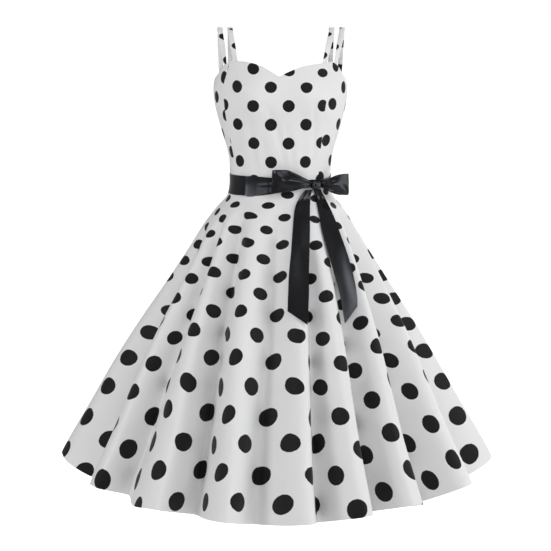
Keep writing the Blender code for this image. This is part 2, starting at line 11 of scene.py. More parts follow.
import bmesh
import bpy
import numpy as np
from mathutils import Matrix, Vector


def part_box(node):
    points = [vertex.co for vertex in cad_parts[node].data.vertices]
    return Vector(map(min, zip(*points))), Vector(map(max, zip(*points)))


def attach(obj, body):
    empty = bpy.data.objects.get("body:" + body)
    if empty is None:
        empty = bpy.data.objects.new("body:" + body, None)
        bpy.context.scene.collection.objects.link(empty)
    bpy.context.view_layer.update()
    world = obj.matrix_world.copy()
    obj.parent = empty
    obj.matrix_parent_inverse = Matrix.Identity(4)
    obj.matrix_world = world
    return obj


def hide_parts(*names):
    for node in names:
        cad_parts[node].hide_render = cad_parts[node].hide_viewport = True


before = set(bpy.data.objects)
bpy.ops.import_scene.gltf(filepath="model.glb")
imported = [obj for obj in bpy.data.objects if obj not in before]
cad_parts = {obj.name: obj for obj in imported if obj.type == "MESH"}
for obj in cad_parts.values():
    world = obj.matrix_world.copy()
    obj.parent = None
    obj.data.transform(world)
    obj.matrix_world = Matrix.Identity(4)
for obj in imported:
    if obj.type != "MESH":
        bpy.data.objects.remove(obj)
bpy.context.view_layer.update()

# %% [markdown]
# ## The surface that the cloth lies on
#
# A dressmaker drapes cloth over a form. The form here is a stack of cross-sections: how far the dress
# reaches to each side, to the front and to the back at some heights. Smooth curves through the rows of a
# short table give every height between. Angles run round the body from the front (0) through +X (90).

# %% Tables of the form
# How thick cloth and ribbon are, the gap at a seam, and how far one layer lies off another.
CLOTH = 0.0012
RIBBON = 0.0007
SEAM_GAP = 0.0003
LAY_GAP = 0.0008
WAIST_Z = -0.370
HEM_Z = -1.055
FOLD_TOP_Z = -0.420


def table(columns, rows):
    """Rows of numbers as one array for each named column."""
    return dict(zip(columns, np.array(rows, float).T))


REACHES = ("left", "right", "front", "back", "square")
SECTIONS = table(
    ("z", *REACHES),
    [
        (-0.070, 0.1405, 0.1410, 0.1080, 0.0940, 0.050),
        (-0.090, 0.1455, 0.1465, 0.1150, 0.0960, 0.050),
        (-0.108, 0.1505, 0.1515, 0.1210, 0.0980, 0.050),
        (-0.125, 0.1565, 0.1575, 0.1255, 0.1000, 0.050),
        (-0.148, 0.1585, 0.1595, 0.1270, 0.1015, 0.050),
        (-0.179, 0.1550, 0.1560, 0.1240, 0.1010, 0.050),
        (-0.235, 0.1410, 0.1425, 0.1120, 0.0950, 0.045),
        (-0.305, 0.1225, 0.1240, 0.1020, 0.0880, 0.040),
        (-0.345, 0.1200, 0.1210, 0.1000, 0.0880, 0.035),
        (-0.370, 0.1200, 0.1205, 0.1015, 0.0900, 0.030),
        (-0.392, 0.1245, 0.1240, 0.1060, 0.0940, 0.030),
        (-0.430, 0.1560, 0.1530, 0.1460, 0.1260, 0.010),
        (-0.470, 0.1860, 0.1810, 0.1800, 0.1560, 0.000),
        (-0.520, 0.2180, 0.2110, 0.2180, 0.1900, 0.000),
        (-0.600, 0.2720, 0.2600, 0.2700, 0.2390, 0.000),
        (-0.700, 0.3430, 0.3240, 0.3260, 0.2930, 0.000),
        (-0.800, 0.4090, 0.3850, 0.3750, 0.3410, 0.000),
        (-0.900, 0.4680, 0.4450, 0.4170, 0.3830, 0.000),
        (-1.000, 0.5280, 0.5060, 0.4520, 0.4190, 0.000),
        (-1.060, 0.5600, 0.5390, 0.4690, 0.4380, 0.000),
    ],
)
CUPS = table(
    ("x", "z", "height", "spread_x", "spread_z"),
    [(-0.072, -0.150, 0.011, 0.042, 0.044), (0.074, -0.150, 0.011, 0.042, 0.044)],
)
print("the form has", len(SECTIONS["z"]), "sections and", len(CUPS["x"]), "cups")

# %% Curves through a table, and points on the form


def curve(xs, ys, at):
    """Values at some places on a smooth curve through points. It is level past its ends."""
    slopes = np.gradient(ys, xs)
    at = np.clip(np.asarray(at, float), xs[0], xs[-1])
    i = np.clip(np.searchsorted(xs, at, side="right") - 1, 0, len(xs) - 2)
    step = xs[i + 1] - xs[i]
    t = (at - xs[i]) / step
    start = ys[i] * (1 + 2 * t) * (1 - t) ** 2 + slopes[i] * step * t * (1 - t) ** 2
    end = ys[i + 1] * t * t * (3 - 2 * t) + slopes[i + 1] * step * t * t * (t - 1)
    return start + end


def smooth(column, rows, at):
    """Value of a table's column along the rows' z, or along their angle if z is the column."""
    keys = rows["z"] if column != "z" else rows["angle"]
    order = np.argsort(keys)
    return curve(keys[order], rows[column][order], at)


def form(angle, z):
    """Point of the dress's outside at an angle (degrees) and height, over the crests of any folds."""
    turn = np.radians(angle)
    left, right, front, back, square = (smooth(column, SECTIONS, z) for column in REACHES)
    reach = np.where(np.sin(turn) > 0, right, left)
    depth = np.where(np.cos(turn) > 0, front, back)
    swell = 1 + square * np.sin(2 * turn) ** 2
    x = reach * np.sin(turn) * swell
    y = -depth * np.cos(turn) * swell
    for cup in range(len(CUPS["x"])):
        away = ((x - CUPS["x"][cup]) / CUPS["spread_x"][cup]) ** 2
        away = away + ((z - CUPS["z"][cup]) / CUPS["spread_z"][cup]) ** 2
        y = y - np.where(np.cos(turn) > 0, CUPS["height"][cup] * np.exp(-away), 0)
    return np.stack(np.broadcast_arrays(x, y, z), axis=-1)


def unit(vectors):
    return vectors / np.linalg.norm(vectors, axis=-1, keepdims=True)


def form_normal(angle, z, step=0.0005):
    """Outward direction of the form."""
    along = form(angle + 0.5, z) - form(angle - 0.5, z)
    down = form(angle, z - step) - form(angle, z + step)
    return unit(np.cross(down, along))


waist_ring = form(np.arange(0, 360, 2.0), WAIST_Z)
waist_round = np.linalg.norm(waist_ring - np.roll(waist_ring, 1, axis=0), axis=1).sum()
print("waist", round(float(waist_round), 3), "m round")

# %% [markdown]
# ## Shared effects for the finishes
#
# Cloth, satin and tape are all woven, and all of them have small differences of tone. An effect that
# several finishes use is made once, as a shader node group with named sockets. A small class writes the
# nodes, so that each group reads like a list of steps.

# %% A short way to write nodes


class Nodes:
    """Adds nodes to a tree and links them. A value may be a number, a tuple or another node's socket."""

    def __init__(self, tree):
        self.tree = tree

    def add(self, kind, inputs=(), output=0, **settings):
        node = self.tree.nodes.new(kind)
        for key, value in settings.items():
            setattr(node, key, value)
        for key, value in dict(inputs).items():
            self.feed(node.inputs[key], value)
        return node.outputs[output]

    def feed(self, socket, value):
        if isinstance(value, bpy.types.NodeSocket):
            self.tree.links.new(value, socket)
        else:
            socket.default_value = value

    def math(self, operation, *values, clamp=False):
        return self.add("ShaderNodeMath", enumerate(values), operation=operation, use_clamp=clamp)

    def part(self, vector, axis):
        """One number of a vector: its x (0), y (1) or z (2)."""
        return self.add("ShaderNodeSeparateXYZ", {"Vector": vector}, axis)

    def noise(self, vector, scale, detail, roughness=0.5):
        values = {"Vector": vector, "Scale": scale, "Detail": detail, "Roughness": roughness}
        return self.add("ShaderNodeTexNoise", values, "Fac")

    def blend(self, share, first, second):
        """Mix of two numbers or two colours by a share."""
        kind = "FLOAT" if isinstance(first, float) else "RGBA"
        sockets = {"FLOAT": (2, 3, 0), "RGBA": (6, 7, 2)}[kind]
        inputs = {0: share, sockets[0]: first, sockets[1]: second}
        return self.add("ShaderNodeMix", inputs, sockets[2], data_type=kind)

    def group(self, tree, inputs, output=0):
        node = self.tree.nodes.new("ShaderNodeGroup")
        node.node_tree = tree
        for key, value in inputs.items():
            self.feed(node.inputs[key], value)
        return node.outputs[output]


def new_group(name, inputs, outputs):
    """An empty node group with named sockets, and the sockets of its two ends."""
    tree = bpy.data.node_groups.new(name, "ShaderNodeTree")
    for label, kind, value in inputs:
        socket = tree.interface.new_socket(name=label, in_out="INPUT", socket_type="NodeSocket" + kind)
        if value is not None:
            socket.default_value = value
    for label, kind in outputs:
        tree.interface.new_socket(name=label, in_out="OUTPUT", socket_type="NodeSocket" + kind)
    start = tree.nodes.new("NodeGroupInput").outputs
    end = tree.nodes.new("NodeGroupOutput").inputs
    return tree, Nodes(tree), start, end


# %% [markdown]
# ### Weave
#
# In a plain weave each thread goes over one thread and under the next. Two sine waves across each other
# give the hills of the threads, and a checker of over and under comes from their signs. The height feeds
# a Bump node in each finish.

# %% The weave group
WEAVE, n, start, end = new_group(
    "plain_weave",
    [("Vector", "Vector", None), ("Thread Pitch", "Float", 0.0005), ("Slub", "Float", 0.3)],
    [("Height", "Float"), ("Tone", "Float")],
)
threads = [n.math("DIVIDE", n.part(start["Vector"], axis), start["Thread Pitch"]) for axis in (0, 1)]
over = n.math("MULTIPLY", *(n.math("SINE", n.math("MULTIPLY", thread, math.pi)) for thread in threads))
slub = n.noise(start["Vector"], 900.0, 2.0, 0.6)
n.feed(end["Height"], n.math("MULTIPLY_ADD", over, 0.5, n.math("MULTIPLY", slub, start["Slub"])))
broad = n.noise(start["Vector"], 35.0, 3.0)
n.feed(end["Tone"], n.math("MULTIPLY_ADD", broad, 0.7, n.math("MULTIPLY", slub, 0.3)))
print("weave group:", len(WEAVE.nodes), "nodes")

# %% [markdown]
# ### Dots
#
# The print is two even lattices of round dots, the second moved half a step both ways. The distance to
# the nearest lattice point comes from the remainder after dividing by the pitch. A narrow ramp at the
# dot's rim gives the slightly soft edge of ink on cotton, and a little noise makes the rim uneven.

# %% The dots group
DOT_PITCH = (0.0820, 0.0880)
DOT_RADIUS = 0.0141
RIM_WOBBLE = 0.0012
DOTS, n, start, end = new_group(
    "printed_dots",
    [
        ("Vector", "Vector", None),
        ("Pitch X", "Float", DOT_PITCH[0]),
        ("Pitch Y", "Float", DOT_PITCH[1]),
        ("Radius", "Float", DOT_RADIUS),
        ("Stretch", "Float", 1.0),
        ("Soft Edge", "Float", 0.0006),
    ],
    [("Mask", "Float")],
)
wobble = n.noise(start["Vector"], 260.0, 1.0)
radius = n.math("MULTIPLY_ADD", n.math("SUBTRACT", wobble, 0.5), RIM_WOBBLE, start["Radius"])
distances = []
for shift in (0.0, 0.5):
    offsets = []
    for axis, pitch in enumerate(("Pitch X", "Pitch Y")):
        value = n.part(start["Vector"], axis)
        cell = n.math("ADD", n.math("DIVIDE", value, start[pitch]), shift + 0.5)
        inside = n.math("SUBTRACT", n.math("FRACT", cell), 0.5)
        offsets.append(n.math("MULTIPLY", inside, start[pitch]))
    offsets[0] = n.math("DIVIDE", offsets[0], start["Stretch"])
    squares = [n.math("MULTIPLY", offset, offset) for offset in offsets]
    distances.append(n.math("SQRT", n.math("ADD", *squares)))
nearest = n.math("MINIMUM", *distances)
edge = n.math("DIVIDE", n.math("SUBTRACT", radius, nearest), start["Soft Edge"])
n.feed(end["Mask"], n.math("ADD", edge, 0.5, clamp=True))
print("dots group:", len(DOTS.nodes), "nodes")

# %% [markdown]
# ### Stitches
#
# A machine stitch is a short raised thread, then a small hole. The pieces carry a second UV map whose
# first number runs along the nearest sewn edge and whose second is the distance from it, so the
# stitches follow the hem and the top edge whatever shape they take.

# %% The stitch group
STITCH, n, start, end = new_group(
    "stitch_row",
    [
        ("Vector", "Vector", None),
        ("Distance", "Float", 0.010),
        ("Length", "Float", 0.0028),
        ("Thread", "Float", 0.0005),
    ],
    [("Mask", "Float")],
)
run, inset = (n.part(start["Vector"], axis) for axis in (0, 1))
share = n.math("FRACT", n.math("DIVIDE", run, start["Length"]))
from_middle = n.math("ABSOLUTE", n.math("SUBTRACT", share, 0.5))
on_stitch = n.math("MULTIPLY", n.math("SUBTRACT", 0.40, from_middle), 14.0, clamp=True)
off_line = n.math("ABSOLUTE", n.math("SUBTRACT", inset, start["Distance"]))
on_line = n.math("SUBTRACT", 1.0, n.math("DIVIDE", off_line, start["Thread"]), clamp=True)
n.feed(end["Mask"], n.math("MULTIPLY", on_stitch, on_line))
print("stitch group:", len(STITCH.nodes), "nodes")

# %% [markdown]
# ## The finishes
#
# The dress cloth is a smooth cotton blend: matt, with a faint fuzz at glancing angles. The ink of the
# dots is a little smoother than the bare cloth. The same number for the whole surface, such as the sheen
# weight, is set on the shader's own socket. The skirt hangs partly on the bias, where cotton gives, so
# its dots are a little wider than they are high.

# %% Dress cloth


def new_finish(name):
    """A material with an empty Principled shader, and the node writer for it."""
    made = bpy.data.materials.new(name)
    made.use_nodes = True
    shader = made.node_tree.nodes["Principled BSDF"]
    return made, Nodes(made.node_tree), shader


def set_sockets(n, shader, **values):
    """Sets or links sockets of the shader. A low line in a name stands for its space."""
    for key, value in values.items():
        n.feed(shader.inputs[key.replace("_", " ")], value)


def woven(n, pitch, slub):
    """The piece's flat map, and the height and the tone of a weave that follows it."""
    flat = n.add("ShaderNodeUVMap", uv_map="Print")
    values = {"Vector": flat, "Thread Pitch": pitch, "Slub": slub}
    return flat, n.group(WEAVE, values), n.group(WEAVE, values, "Tone")


def raise_relief(n, shader, height, strength, distance):
    """Lets a height show as small bumps."""
    values = {"Height": height, "Strength": strength, "Distance": distance}
    set_sockets(n, shader, Normal=n.add("ShaderNodeBump", values))


def grey(level, blue=None):
    """A grey, whose blue may be a little more than its red and green."""
    return (level, level, level if blue is None else blue, 1.0)


# A weave is its thread pitch and how uneven its threads are.
COTTON_WEAVE = (0.00045, 0.5)
STITCH_INSET = 0.012
WHITE, WHITE_SHADED = grey(0.805, 0.81), grey(0.76, 0.77)
INK, INK_WORN = grey(0.0040, 0.0042), grey(0.0075, 0.0080)


def printed_cloth(name, stretch):
    """The cotton with its dots, which may be stretched across."""
    cloth, n, shader = new_finish(name)
    printed, weave, tone = woven(n, *COTTON_WEAVE)
    dots = n.group(DOTS, {"Vector": printed, "Stretch": stretch})
    sewn = n.add("ShaderNodeUVMap", uv_map="Sewn")
    stitches = n.group(STITCH, {"Vector": sewn, "Distance": STITCH_INSET})
    bare = n.blend(n.math("MULTIPLY", tone, 0.35), WHITE, WHITE_SHADED)
    inked = n.blend(tone, INK, INK_WORN)
    set_sockets(n, shader, Base_Color=n.blend(dots, bare, inked), Roughness=n.blend(dots, 0.82, 0.62))
    relief = n.math("ADD", weave, n.math("MULTIPLY", stitches, 4.0))
    raise_relief(n, shader, relief, 0.25, 0.0001)
    set_sockets(n, shader, Sheen_Weight=0.05, Sheen_Roughness=0.5, Specular_IOR_Level=0.2)
    return cloth


SKIRT_STRETCH = 1.13
dress_cloth = printed_cloth("dress_cloth", 1.0)
skirt_cloth = printed_cloth("skirt_cloth", SKIRT_STRETCH)
print("dress cloth:", len(dress_cloth.node_tree.nodes), "nodes")

# %% [markdown]
# Satin is woven so that long threads lie side by side on its face. Light slides along them, so the
# ribbon is dark from most sides and gives a soft, slightly blue band where it turns to the light. The
# fine rib across the ribbon comes from the same weave group with a small pitch.

# %% Ribbon satin
SATIN_WEAVE = (0.0004, 0.6)
SATIN_BLACK, SATIN_PALER = grey(0.0020, 0.0023), grey(0.0045, 0.0055)
COOL_TINT = (0.88, 0.90, 1.0, 1.0)
ribbon_satin, n, shader = new_finish("ribbon_satin")
_, ribs, tone = woven(n, *SATIN_WEAVE)
satin_black = n.blend(tone, SATIN_BLACK, SATIN_PALER)
set_sockets(n, shader, Base_Color=satin_black, Roughness=n.math("MULTIPLY_ADD", tone, 0.08, 0.17))
raise_relief(n, shader, ribs, 0.12, 0.00008)
set_sockets(n, shader, Specular_IOR_Level=0.42, Anisotropic=0.5, Sheen_Weight=0.02, Sheen_Roughness=0.3)
set_sockets(n, shader, Sheen_Tint=COOL_TINT, Specular_Tint=COOL_TINT)
print("ribbon satin:", len(ribbon_satin.node_tree.nodes), "nodes")

# %% [markdown]
# The zip's tape is a matt woven strip, and its slider and pull tab are small castings with white enamel.
# The enamel is a touch rougher and greyer in spots, where a thumb rubs it.

# %% Zip tape and enamel
TAPE_WEAVE = (0.0007, 0.3)
tape_cloth, n, shader = new_finish("zip_tape_cloth")
_, threads, tone = woven(n, *TAPE_WEAVE)
raise_relief(n, shader, threads, 0.5, 0.0002)
tape_white = n.blend(tone, grey(0.80), grey(0.70, 0.71))
set_sockets(n, shader, Base_Color=tape_white, Roughness=0.85, Sheen_Weight=0.1)

zip_enamel, n, shader = new_finish("zip_enamel")
rubbed = n.noise(n.add("ShaderNodeTexCoord", output="Object"), 420.0, 3.0)
enamel_white = n.blend(rubbed, grey(0.84, 0.83), grey(0.74))
set_sockets(n, shader, Base_Color=enamel_white, Roughness=n.math("MULTIPLY_ADD", rubbed, 0.22, 0.22))
set_sockets(n, shader, Coat_Weight=0.3, Coat_Roughness=0.2)
print("finishes:", [item.name for item in bpy.data.materials if item.users or item.use_nodes])

# %% [markdown]
# ## From a flat grid to a cloth piece
#
# Cloth is cut flat and then takes the shape of what it hangs on. Each piece starts in the same way: a
# flat grid from bmesh, whose corners are moved to points on the form. The grid keeps its flat place as
# the UV map, which is what a print does. Solidify then gives the cloth its thickness towards the inside.

# %% The cloth maker


def grid_on(points, prints, sewn_edges):
    """A bmesh grid moved to an array of points (rows down, columns round), with its two UV maps."""
    rows, columns = points.shape[:2]
    mesh = bmesh.new()
    bmesh.ops.create_grid(mesh, x_segments=columns - 1, y_segments=rows - 1, size=0.5)
    maps = [mesh.loops.layers.uv.new(name) for name in ("Print", "Sewn")]
    spots = {}
    for vertex in mesh.verts:
        column = round((vertex.co.x + 0.5) * (columns - 1))
        row = round((0.5 - vertex.co.y) * (rows - 1))
        spots[vertex] = (row, column)
        vertex.co = points[row, column]
    for face in mesh.faces:
        face.smooth = True
        for loop in face.loops:
            for layer, values in zip(maps, (prints, sewn_edges)):
                loop[layer].uv = values[spots[loop.vert]]
    return mesh


def add_object(name, data):
    """An object in the scene, at the origin."""
    added = bpy.data.objects.new(name, data)
    bpy.context.scene.collection.objects.link(added)
    return added


def mesh_object(name, mesh, finish):
    """An object from a bmesh, with its finish."""
    data = bpy.data.meshes.new(name)
    mesh.to_mesh(data)
    mesh.free()
    data.materials.append(finish)
    return add_object(name, data)


def finish_piece(name, mesh, finish, nodes, body="dress", thickness=None):
    """Turns a bmesh into a piece of the scene that rides on a body and stands for CAD nodes."""
    for edge in mesh.edges:
        edge.smooth = not edge.is_boundary  # a cut edge is crisp, so the light doesn't roll over it
    piece = mesh_object(name, mesh, finish)
    if thickness:
        wall = piece.modifiers.new("thickness", "SOLIDIFY")
        wall.thickness = thickness
        wall.offset = -1.0
        wall.use_even_offset = False
    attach(piece, body)
    if nodes:
        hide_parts(*nodes)
    return piece


print("cloth maker ready; one grid corner for each point of an array")

# %% Measures and turned edges of the cloth
NEAR_SEAM = (0.0012, 0.0035)
PANEL_WIDTH = 0.1


def run_lengths(points, axis):
    """Distance travelled along each row (axis 1) or column (axis 0) of an array of points."""
    steps = np.linalg.norm(np.diff(points, axis=axis), axis=-1)
    pad = [(0, 0), (0, 0)]
    pad[axis] = (1, 0)
    return np.pad(np.cumsum(steps, axis=axis), pad)


def flat_place(points):
    """How far each point lies along its row and down its column: its place on the flat cloth."""
    return np.stack([run_lengths(points, 1), run_lengths(points, 0)], axis=-1)


def roll_edge(points, normals, distance, roll):
    """Turns the cloth in at an edge, as a pressed one is. A roll is how deep and how far it goes."""
    depth, reach = roll
    sink = depth * np.exp(-((distance / reach) ** 2))
    return points - sink[..., None] * normals


def roll_seams(points, normals, roll):
    """Turns the cloth in along its two side seams."""
    across = run_lengths(points, 1)
    return roll_edge(points, normals, np.minimum(across, across[:, -1:] - across), roll)


def crowd_ends(count):
    """Shares from 0 to 1 with two extra columns close to each end, for the roll of the seams."""
    near = np.array(NEAR_SEAM) / PANEL_WIDTH
    return np.unique(np.concatenate([near, np.linspace(0, 1, count + 2), 1 - near]))


print("turned edges ready; a seam gets", 2 * len(NEAR_SEAM), "extra columns")

# %% [markdown]
# ## The bodice
#
# Five panels make the bodice: a front between two princess seams, two sides and two backs. The princess
# seams carry the shaping over the bust. The cloth is snug, so it shows only a few long, soft creases
# that run from under the cups to the waist. They are pressed into the surface as shallow grooves.

# %% Lines of the bodice
NECKLINE = table(
    ("angle", "z"),
    [
        (-180, -0.1300), (-150, -0.1270), (-120, -0.1210), (-90, -0.1150), (-74, -0.1060),
        (-64, -0.0890), (-52, -0.0780), (-34, -0.0756), (-16, -0.0870), (-6, -0.1010), (-1, -0.1080),
        (5, -0.1010), (17, -0.0890), (42, -0.0794), (54, -0.0780), (64, -0.0870), (74, -0.1060),
        (90, -0.1150), (120, -0.1210), (150, -0.1270), (180, -0.1300),
    ],
)
SEAMS = {
    "back_left": [(-0.08, -180), (-0.37, -180)],
    "side_left": [(-0.08, -90), (-0.37, -90)],
    "princess_left": [(-0.08, -53), (-0.18, -53.5), (-0.275, -59.5), (-0.37, -60)],
    "princess_right": [(-0.08, 50), (-0.12, 43.5), (-0.205, 40), (-0.265, 44), (-0.37, 47)],
    "side_right": [(-0.08, 90), (-0.37, 90)],
    "back_right": [(-0.08, 180), (-0.37, 180)],
}
SEAMS = {name: table(("z", "angle"), rows) for name, rows in SEAMS.items()}
print(f"neckline from {NECKLINE['z'].min():.3f} to {NECKLINE['z'].max():.3f} m, {len(SEAMS)} seam lines")

# %% Creases of the bodice
# Each crease: its line as (x, z) points, how deep it is and how broad.
CREASES = (
    (((-0.0400, -0.160), (-0.0080, -0.231), (0.0160, -0.335)), 0.0030, 0.0090),
    (((-0.0750, -0.185), (-0.0640, -0.270), (-0.0560, -0.350)), 0.0030, 0.0075),
    (((0.0780, -0.160), (0.0800, -0.280), (0.0720, -0.355)), 0.0030, 0.0075),
    (((0.0100, -0.210), (0.0260, -0.280), (0.0370, -0.355)), 0.0022, 0.0080),
    (((-0.0420, -0.250), (-0.0330, -0.300), (-0.0280, -0.355)), 0.0020, 0.0080),
    (((0.0480, -0.180), (0.0560, -0.250), (0.0520, -0.330)), 0.0018, 0.0090),
    (((-0.1080, -0.190), (-0.0960, -0.270), (-0.0900, -0.350)), 0.0020, 0.0080),
    (((0.1080, -0.200), (0.1075, -0.283), (0.1000, -0.350)), 0.0020, 0.0080),
    (((-0.1300, -0.115), (-0.0800, -0.128), (-0.0300, -0.165)), 0.0012, 0.0110),
)
CREASE_FADE = 0.7


def crease_depth(points):
    """How far the creases press each point in. A crease fades at both its ends."""
    total = np.zeros(points.shape[:-1])
    for line, depth, breadth in CREASES:
        xs, zs = np.array(line).T
        z = points[..., 2]
        share = (z - zs[0]) / (zs[-1] - zs[0])
        middle = np.interp(-z, -zs, xs)
        fade = np.sin(np.pi * np.clip(share, 0, 1)) ** CREASE_FADE
        across = np.exp(-(((points[..., 0] - middle) / breadth) ** 2))
        total += depth * fade * across
    return np.where(points[..., 1] < 0, total, 0)


print(len(CREASES), "creases in the front of the bodice")

# %% [markdown]
# A panel's rows run from the top edge down to the waist seam. The print of the front starts at the
# centre front. The side panels are cut on their own, so their dots don't meet the front's at the seam.

# %% Bodice panels
# Each panel: its two seams, columns, the angle of its grain line, where its print starts (along, up) and
# how far the print is turned.
PANELS = (
    ("bodice_back_left", "back_left", "side_left", 40, -135, (0.0150, -0.2100), 0.0),
    ("bodice_side_left", "side_left", "princess_left", 18, 0, (-0.1470, -0.1128), -4.3),
    ("bodice_front", "princess_left", "princess_right", 66, 0, (-0.0217, -0.2200), 0.0),
    ("bodice_side_right", "princess_right", "side_right", 22, 0, (0.1466, -0.0864), 9.7),
    ("bodice_back_right", "side_right", "back_right", 40, 135, (-0.0150, -0.2100), 0.0),
)
BODICE_ROWS = 64
# Above this height the front leans back, so its print looks shorter, more so towards +X.
LEAN_Z = -0.1330
LEAN = (0.22, 2.1)
# Rows lie closer together at the top edge. Plain floats give the same last digit in every run.
ROW_CROWDING = 1.1
ROW_SHARES = np.array([[share**ROW_CROWDING] for share in np.linspace(0, 1, BODICE_ROWS).tolist()])
BODICE_SEAM_ROLL = (0.00035, 0.0022)
TOP_EDGE_ROLL = (0.0006, 0.0015)
TOP_STITCH_RISE = 0.0065
print(len(PANELS), "panels of", BODICE_ROWS, "rows and", sum(panel[3] for panel in PANELS), "columns")

# %% Cutting a bodice panel


def arc_from_front(angle, z):
    """Distance round the body from the centre front to an angle, at a height."""
    shares = np.linspace(0, 1, 40)
    path = form(angle[..., None] * shares, z[..., None] * np.ones(40))
    return np.sign(angle) * np.linalg.norm(np.diff(path, axis=-2), axis=-1).sum(-1)


def turned_print(u, v, origin, degrees):
    """Print coordinates measured from an origin and turned by an angle."""
    u, v = u - origin[0], v - origin[1]
    c, s = math.cos(math.radians(degrees)), math.sin(math.radians(degrees))
    return np.stack([u * c - v * s, u * s + v * c], axis=-1)


def bodice_panel(name, seam_from, seam_to, columns, grain, origin, degrees):
    """One panel between two seams, from the top edge to the waist."""
    share = crowd_ends(columns)
    top_z = np.full(share.shape, -0.1)
    for _ in range(8):  # the seams' angles and the height of the top edge settle on each other
        first, last = (smooth("angle", SEAMS[seam], top_z) for seam in (seam_from, seam_to))
        top_z = smooth("z", NECKLINE, first + (last - first) * share)
    waist = WAIST_Z + SEAM_GAP / 2
    z = top_z + (waist - top_z) * ROW_SHARES
    first, last = (smooth("angle", SEAMS[seam], z) for seam in (seam_from, seam_to))
    angle = first + (last - first) * share
    points = form(angle, z)
    normals = form_normal(angle, z)
    points = points - crease_depth(points)[..., None] * normals
    points = roll_seams(points, normals, BODICE_SEAM_ROLL)
    from_top = run_lengths(points, 0)
    points = roll_edge(points, normals, from_top, TOP_EDGE_ROLL)
    along = arc_from_front(angle, z) - arc_from_front(np.full(angle.shape, float(grain)), z)
    lean = np.maximum(z - LEAN_Z, 0) * (LEAN[0] + LEAN[1] * along) * (name == "bodice_front")
    prints = turned_print(along, z + lean, origin, degrees)
    sewn_edges = np.stack([run_lengths(points, 1), from_top + TOP_STITCH_RISE], axis=-1)
    mesh = grid_on(points, prints, sewn_edges)
    piece = finish_piece(name + "_cloth", mesh, dress_cloth, [name], thickness=CLOTH)


for panel in PANELS:
    bodice_panel(*panel)

# %% [markdown]
# ## The skirt
#
# A swing skirt is cut as most of a full circle, so it is smooth at the waist and has far more cloth at
# the hem than the body needs. The spare cloth falls in folds. Each fold here rises slowly from a narrow
# trough to a crest and then drops steeply, as the cloth is pushed to one side. One row of a table says
# where a fold's crest and trough stand at the hem and near the waist, and how deep it is.

# %% Folds of the skirt
FOLDS = table(
    ("crest_hem", "crest_top", "trough_hem", "trough_top", "depth", "start_z"),
    [
        (-82.0, -90, -68.0, -77, 0.085, -0.47),
        (-51.0, -67, -48.0, -57, 0.080, -0.44),
        (-30.5, -49, -25.2, -39, 0.112, -0.42),
        (-12.5, -23, -7.0, -1, 0.090, -0.41),
        (6.5, 14, 10.6, 23, 0.092, -0.48),
        (20.5, 30, 27.4, 47, 0.100, -0.44),
        (34.5, 60, 45.5, 70, 0.124, -0.42),
        (56.0, 87, 69.0, 98, 0.118, -0.44),
        (83.0, 108, 94.0, 116, 0.090, -0.46),
        (104.0, 124, 113.0, 131, 0.104, -0.43),
        (124.0, 138, 133.0, 146, 0.092, -0.46),
        (145.0, 154, 156.0, 163, 0.106, -0.42),
        (168.0, 171, 180.0, 180, 0.086, -0.48),
        (192.0, 190, 203.0, 199, 0.104, -0.43),
        (214.0, 208, 225.0, 218, 0.094, -0.45),
        (237.0, 228, 247.0, 239, 0.106, -0.43),
        (254.0, 249, 266.0, 264, 0.076, -0.48),
    ],
)
HEM_LINE = table(
    ("angle", "z"),
    [
        (-180, -1.0450), (-125, -1.0330), (-90, -1.0250), (-81, -1.0240), (-69, -1.0420),
        (-58, -1.0350), (-50, -1.0350), (-42, -1.0500), (-30, -1.0470), (-20, -1.0530), (2, -1.0590),
        (20, -1.0510), (35, -1.0440), (45, -1.0540), (56, -1.0400), (68, -1.0550), (83, -1.0360),
        (125, -1.0360), (180, -1.0450),
    ],
)
# Height of the cloth from a trough (0) up to the next crest (1), and from the crest down to its trough.
RISE = table(
    ("z", "height"),
    [(0, 0), (0.10, 0.06), (0.25, 0.24), (0.45, 0.52), (0.65, 0.78), (0.82, 0.94), (0.92, 0.99), (1, 1)],
)
FALL = table(("z", "height"), [(0, 1), (0.18, 0.97), (0.42, 0.82), (0.68, 0.42), (0.87, 0.10), (1, 0)])
RISE_COLUMNS = 18
FALL_COLUMNS = 12
FOLD_COLUMNS = RISE_COLUMNS + FALL_COLUMNS
SKIRT_ROWS = 72
# Folds deepen quickly below their start, then slowly. Troughs hang lower by a share of their depth.
FOLD_GROWTH = 0.55
TROUGH_HANG = 0.36
fold_depths = FOLDS["depth"]
print(len(fold_depths), "folds,", fold_depths.min(), "to", fold_depths.max(), "m deep at the hem")

# %% The skirt's surface


def fold_angles(z):
    """Angle of each column round the skirt at a height, and how far it drops in from the crests."""
    toward_top = np.clip((HEM_Z - z) / (HEM_Z - FOLD_TOP_Z), 0, 1) ** 2
    crest = FOLDS["crest_hem"] + (FOLDS["crest_top"] - FOLDS["crest_hem"]) * toward_top
    trough = FOLDS["trough_hem"] + (FOLDS["trough_top"] - FOLDS["trough_hem"]) * toward_top
    grown = np.clip((FOLDS["start_z"] - z) / (FOLDS["start_z"] - HEM_Z), 0, 1)
    depth = FOLDS["depth"] * grown**FOLD_GROWTH
    up, down = np.arange(RISE_COLUMNS) / RISE_COLUMNS, np.arange(FALL_COLUMNS) / FALL_COLUMNS
    angles, drops = [], []
    for fold in range(len(crest)):
        before = trough[fold - 1] - (360 if fold == 0 else 0)
        angles.append(before + (crest[fold] - before) * up)
        drops.append(depth[fold - 1] * (1 - smooth("height", RISE, up)))
        angles.append(crest[fold] + (trough[fold] - crest[fold]) * down)
        drops.append(depth[fold] * (1 - smooth("height", FALL, down)))
    return np.concatenate(angles), np.concatenate(drops)


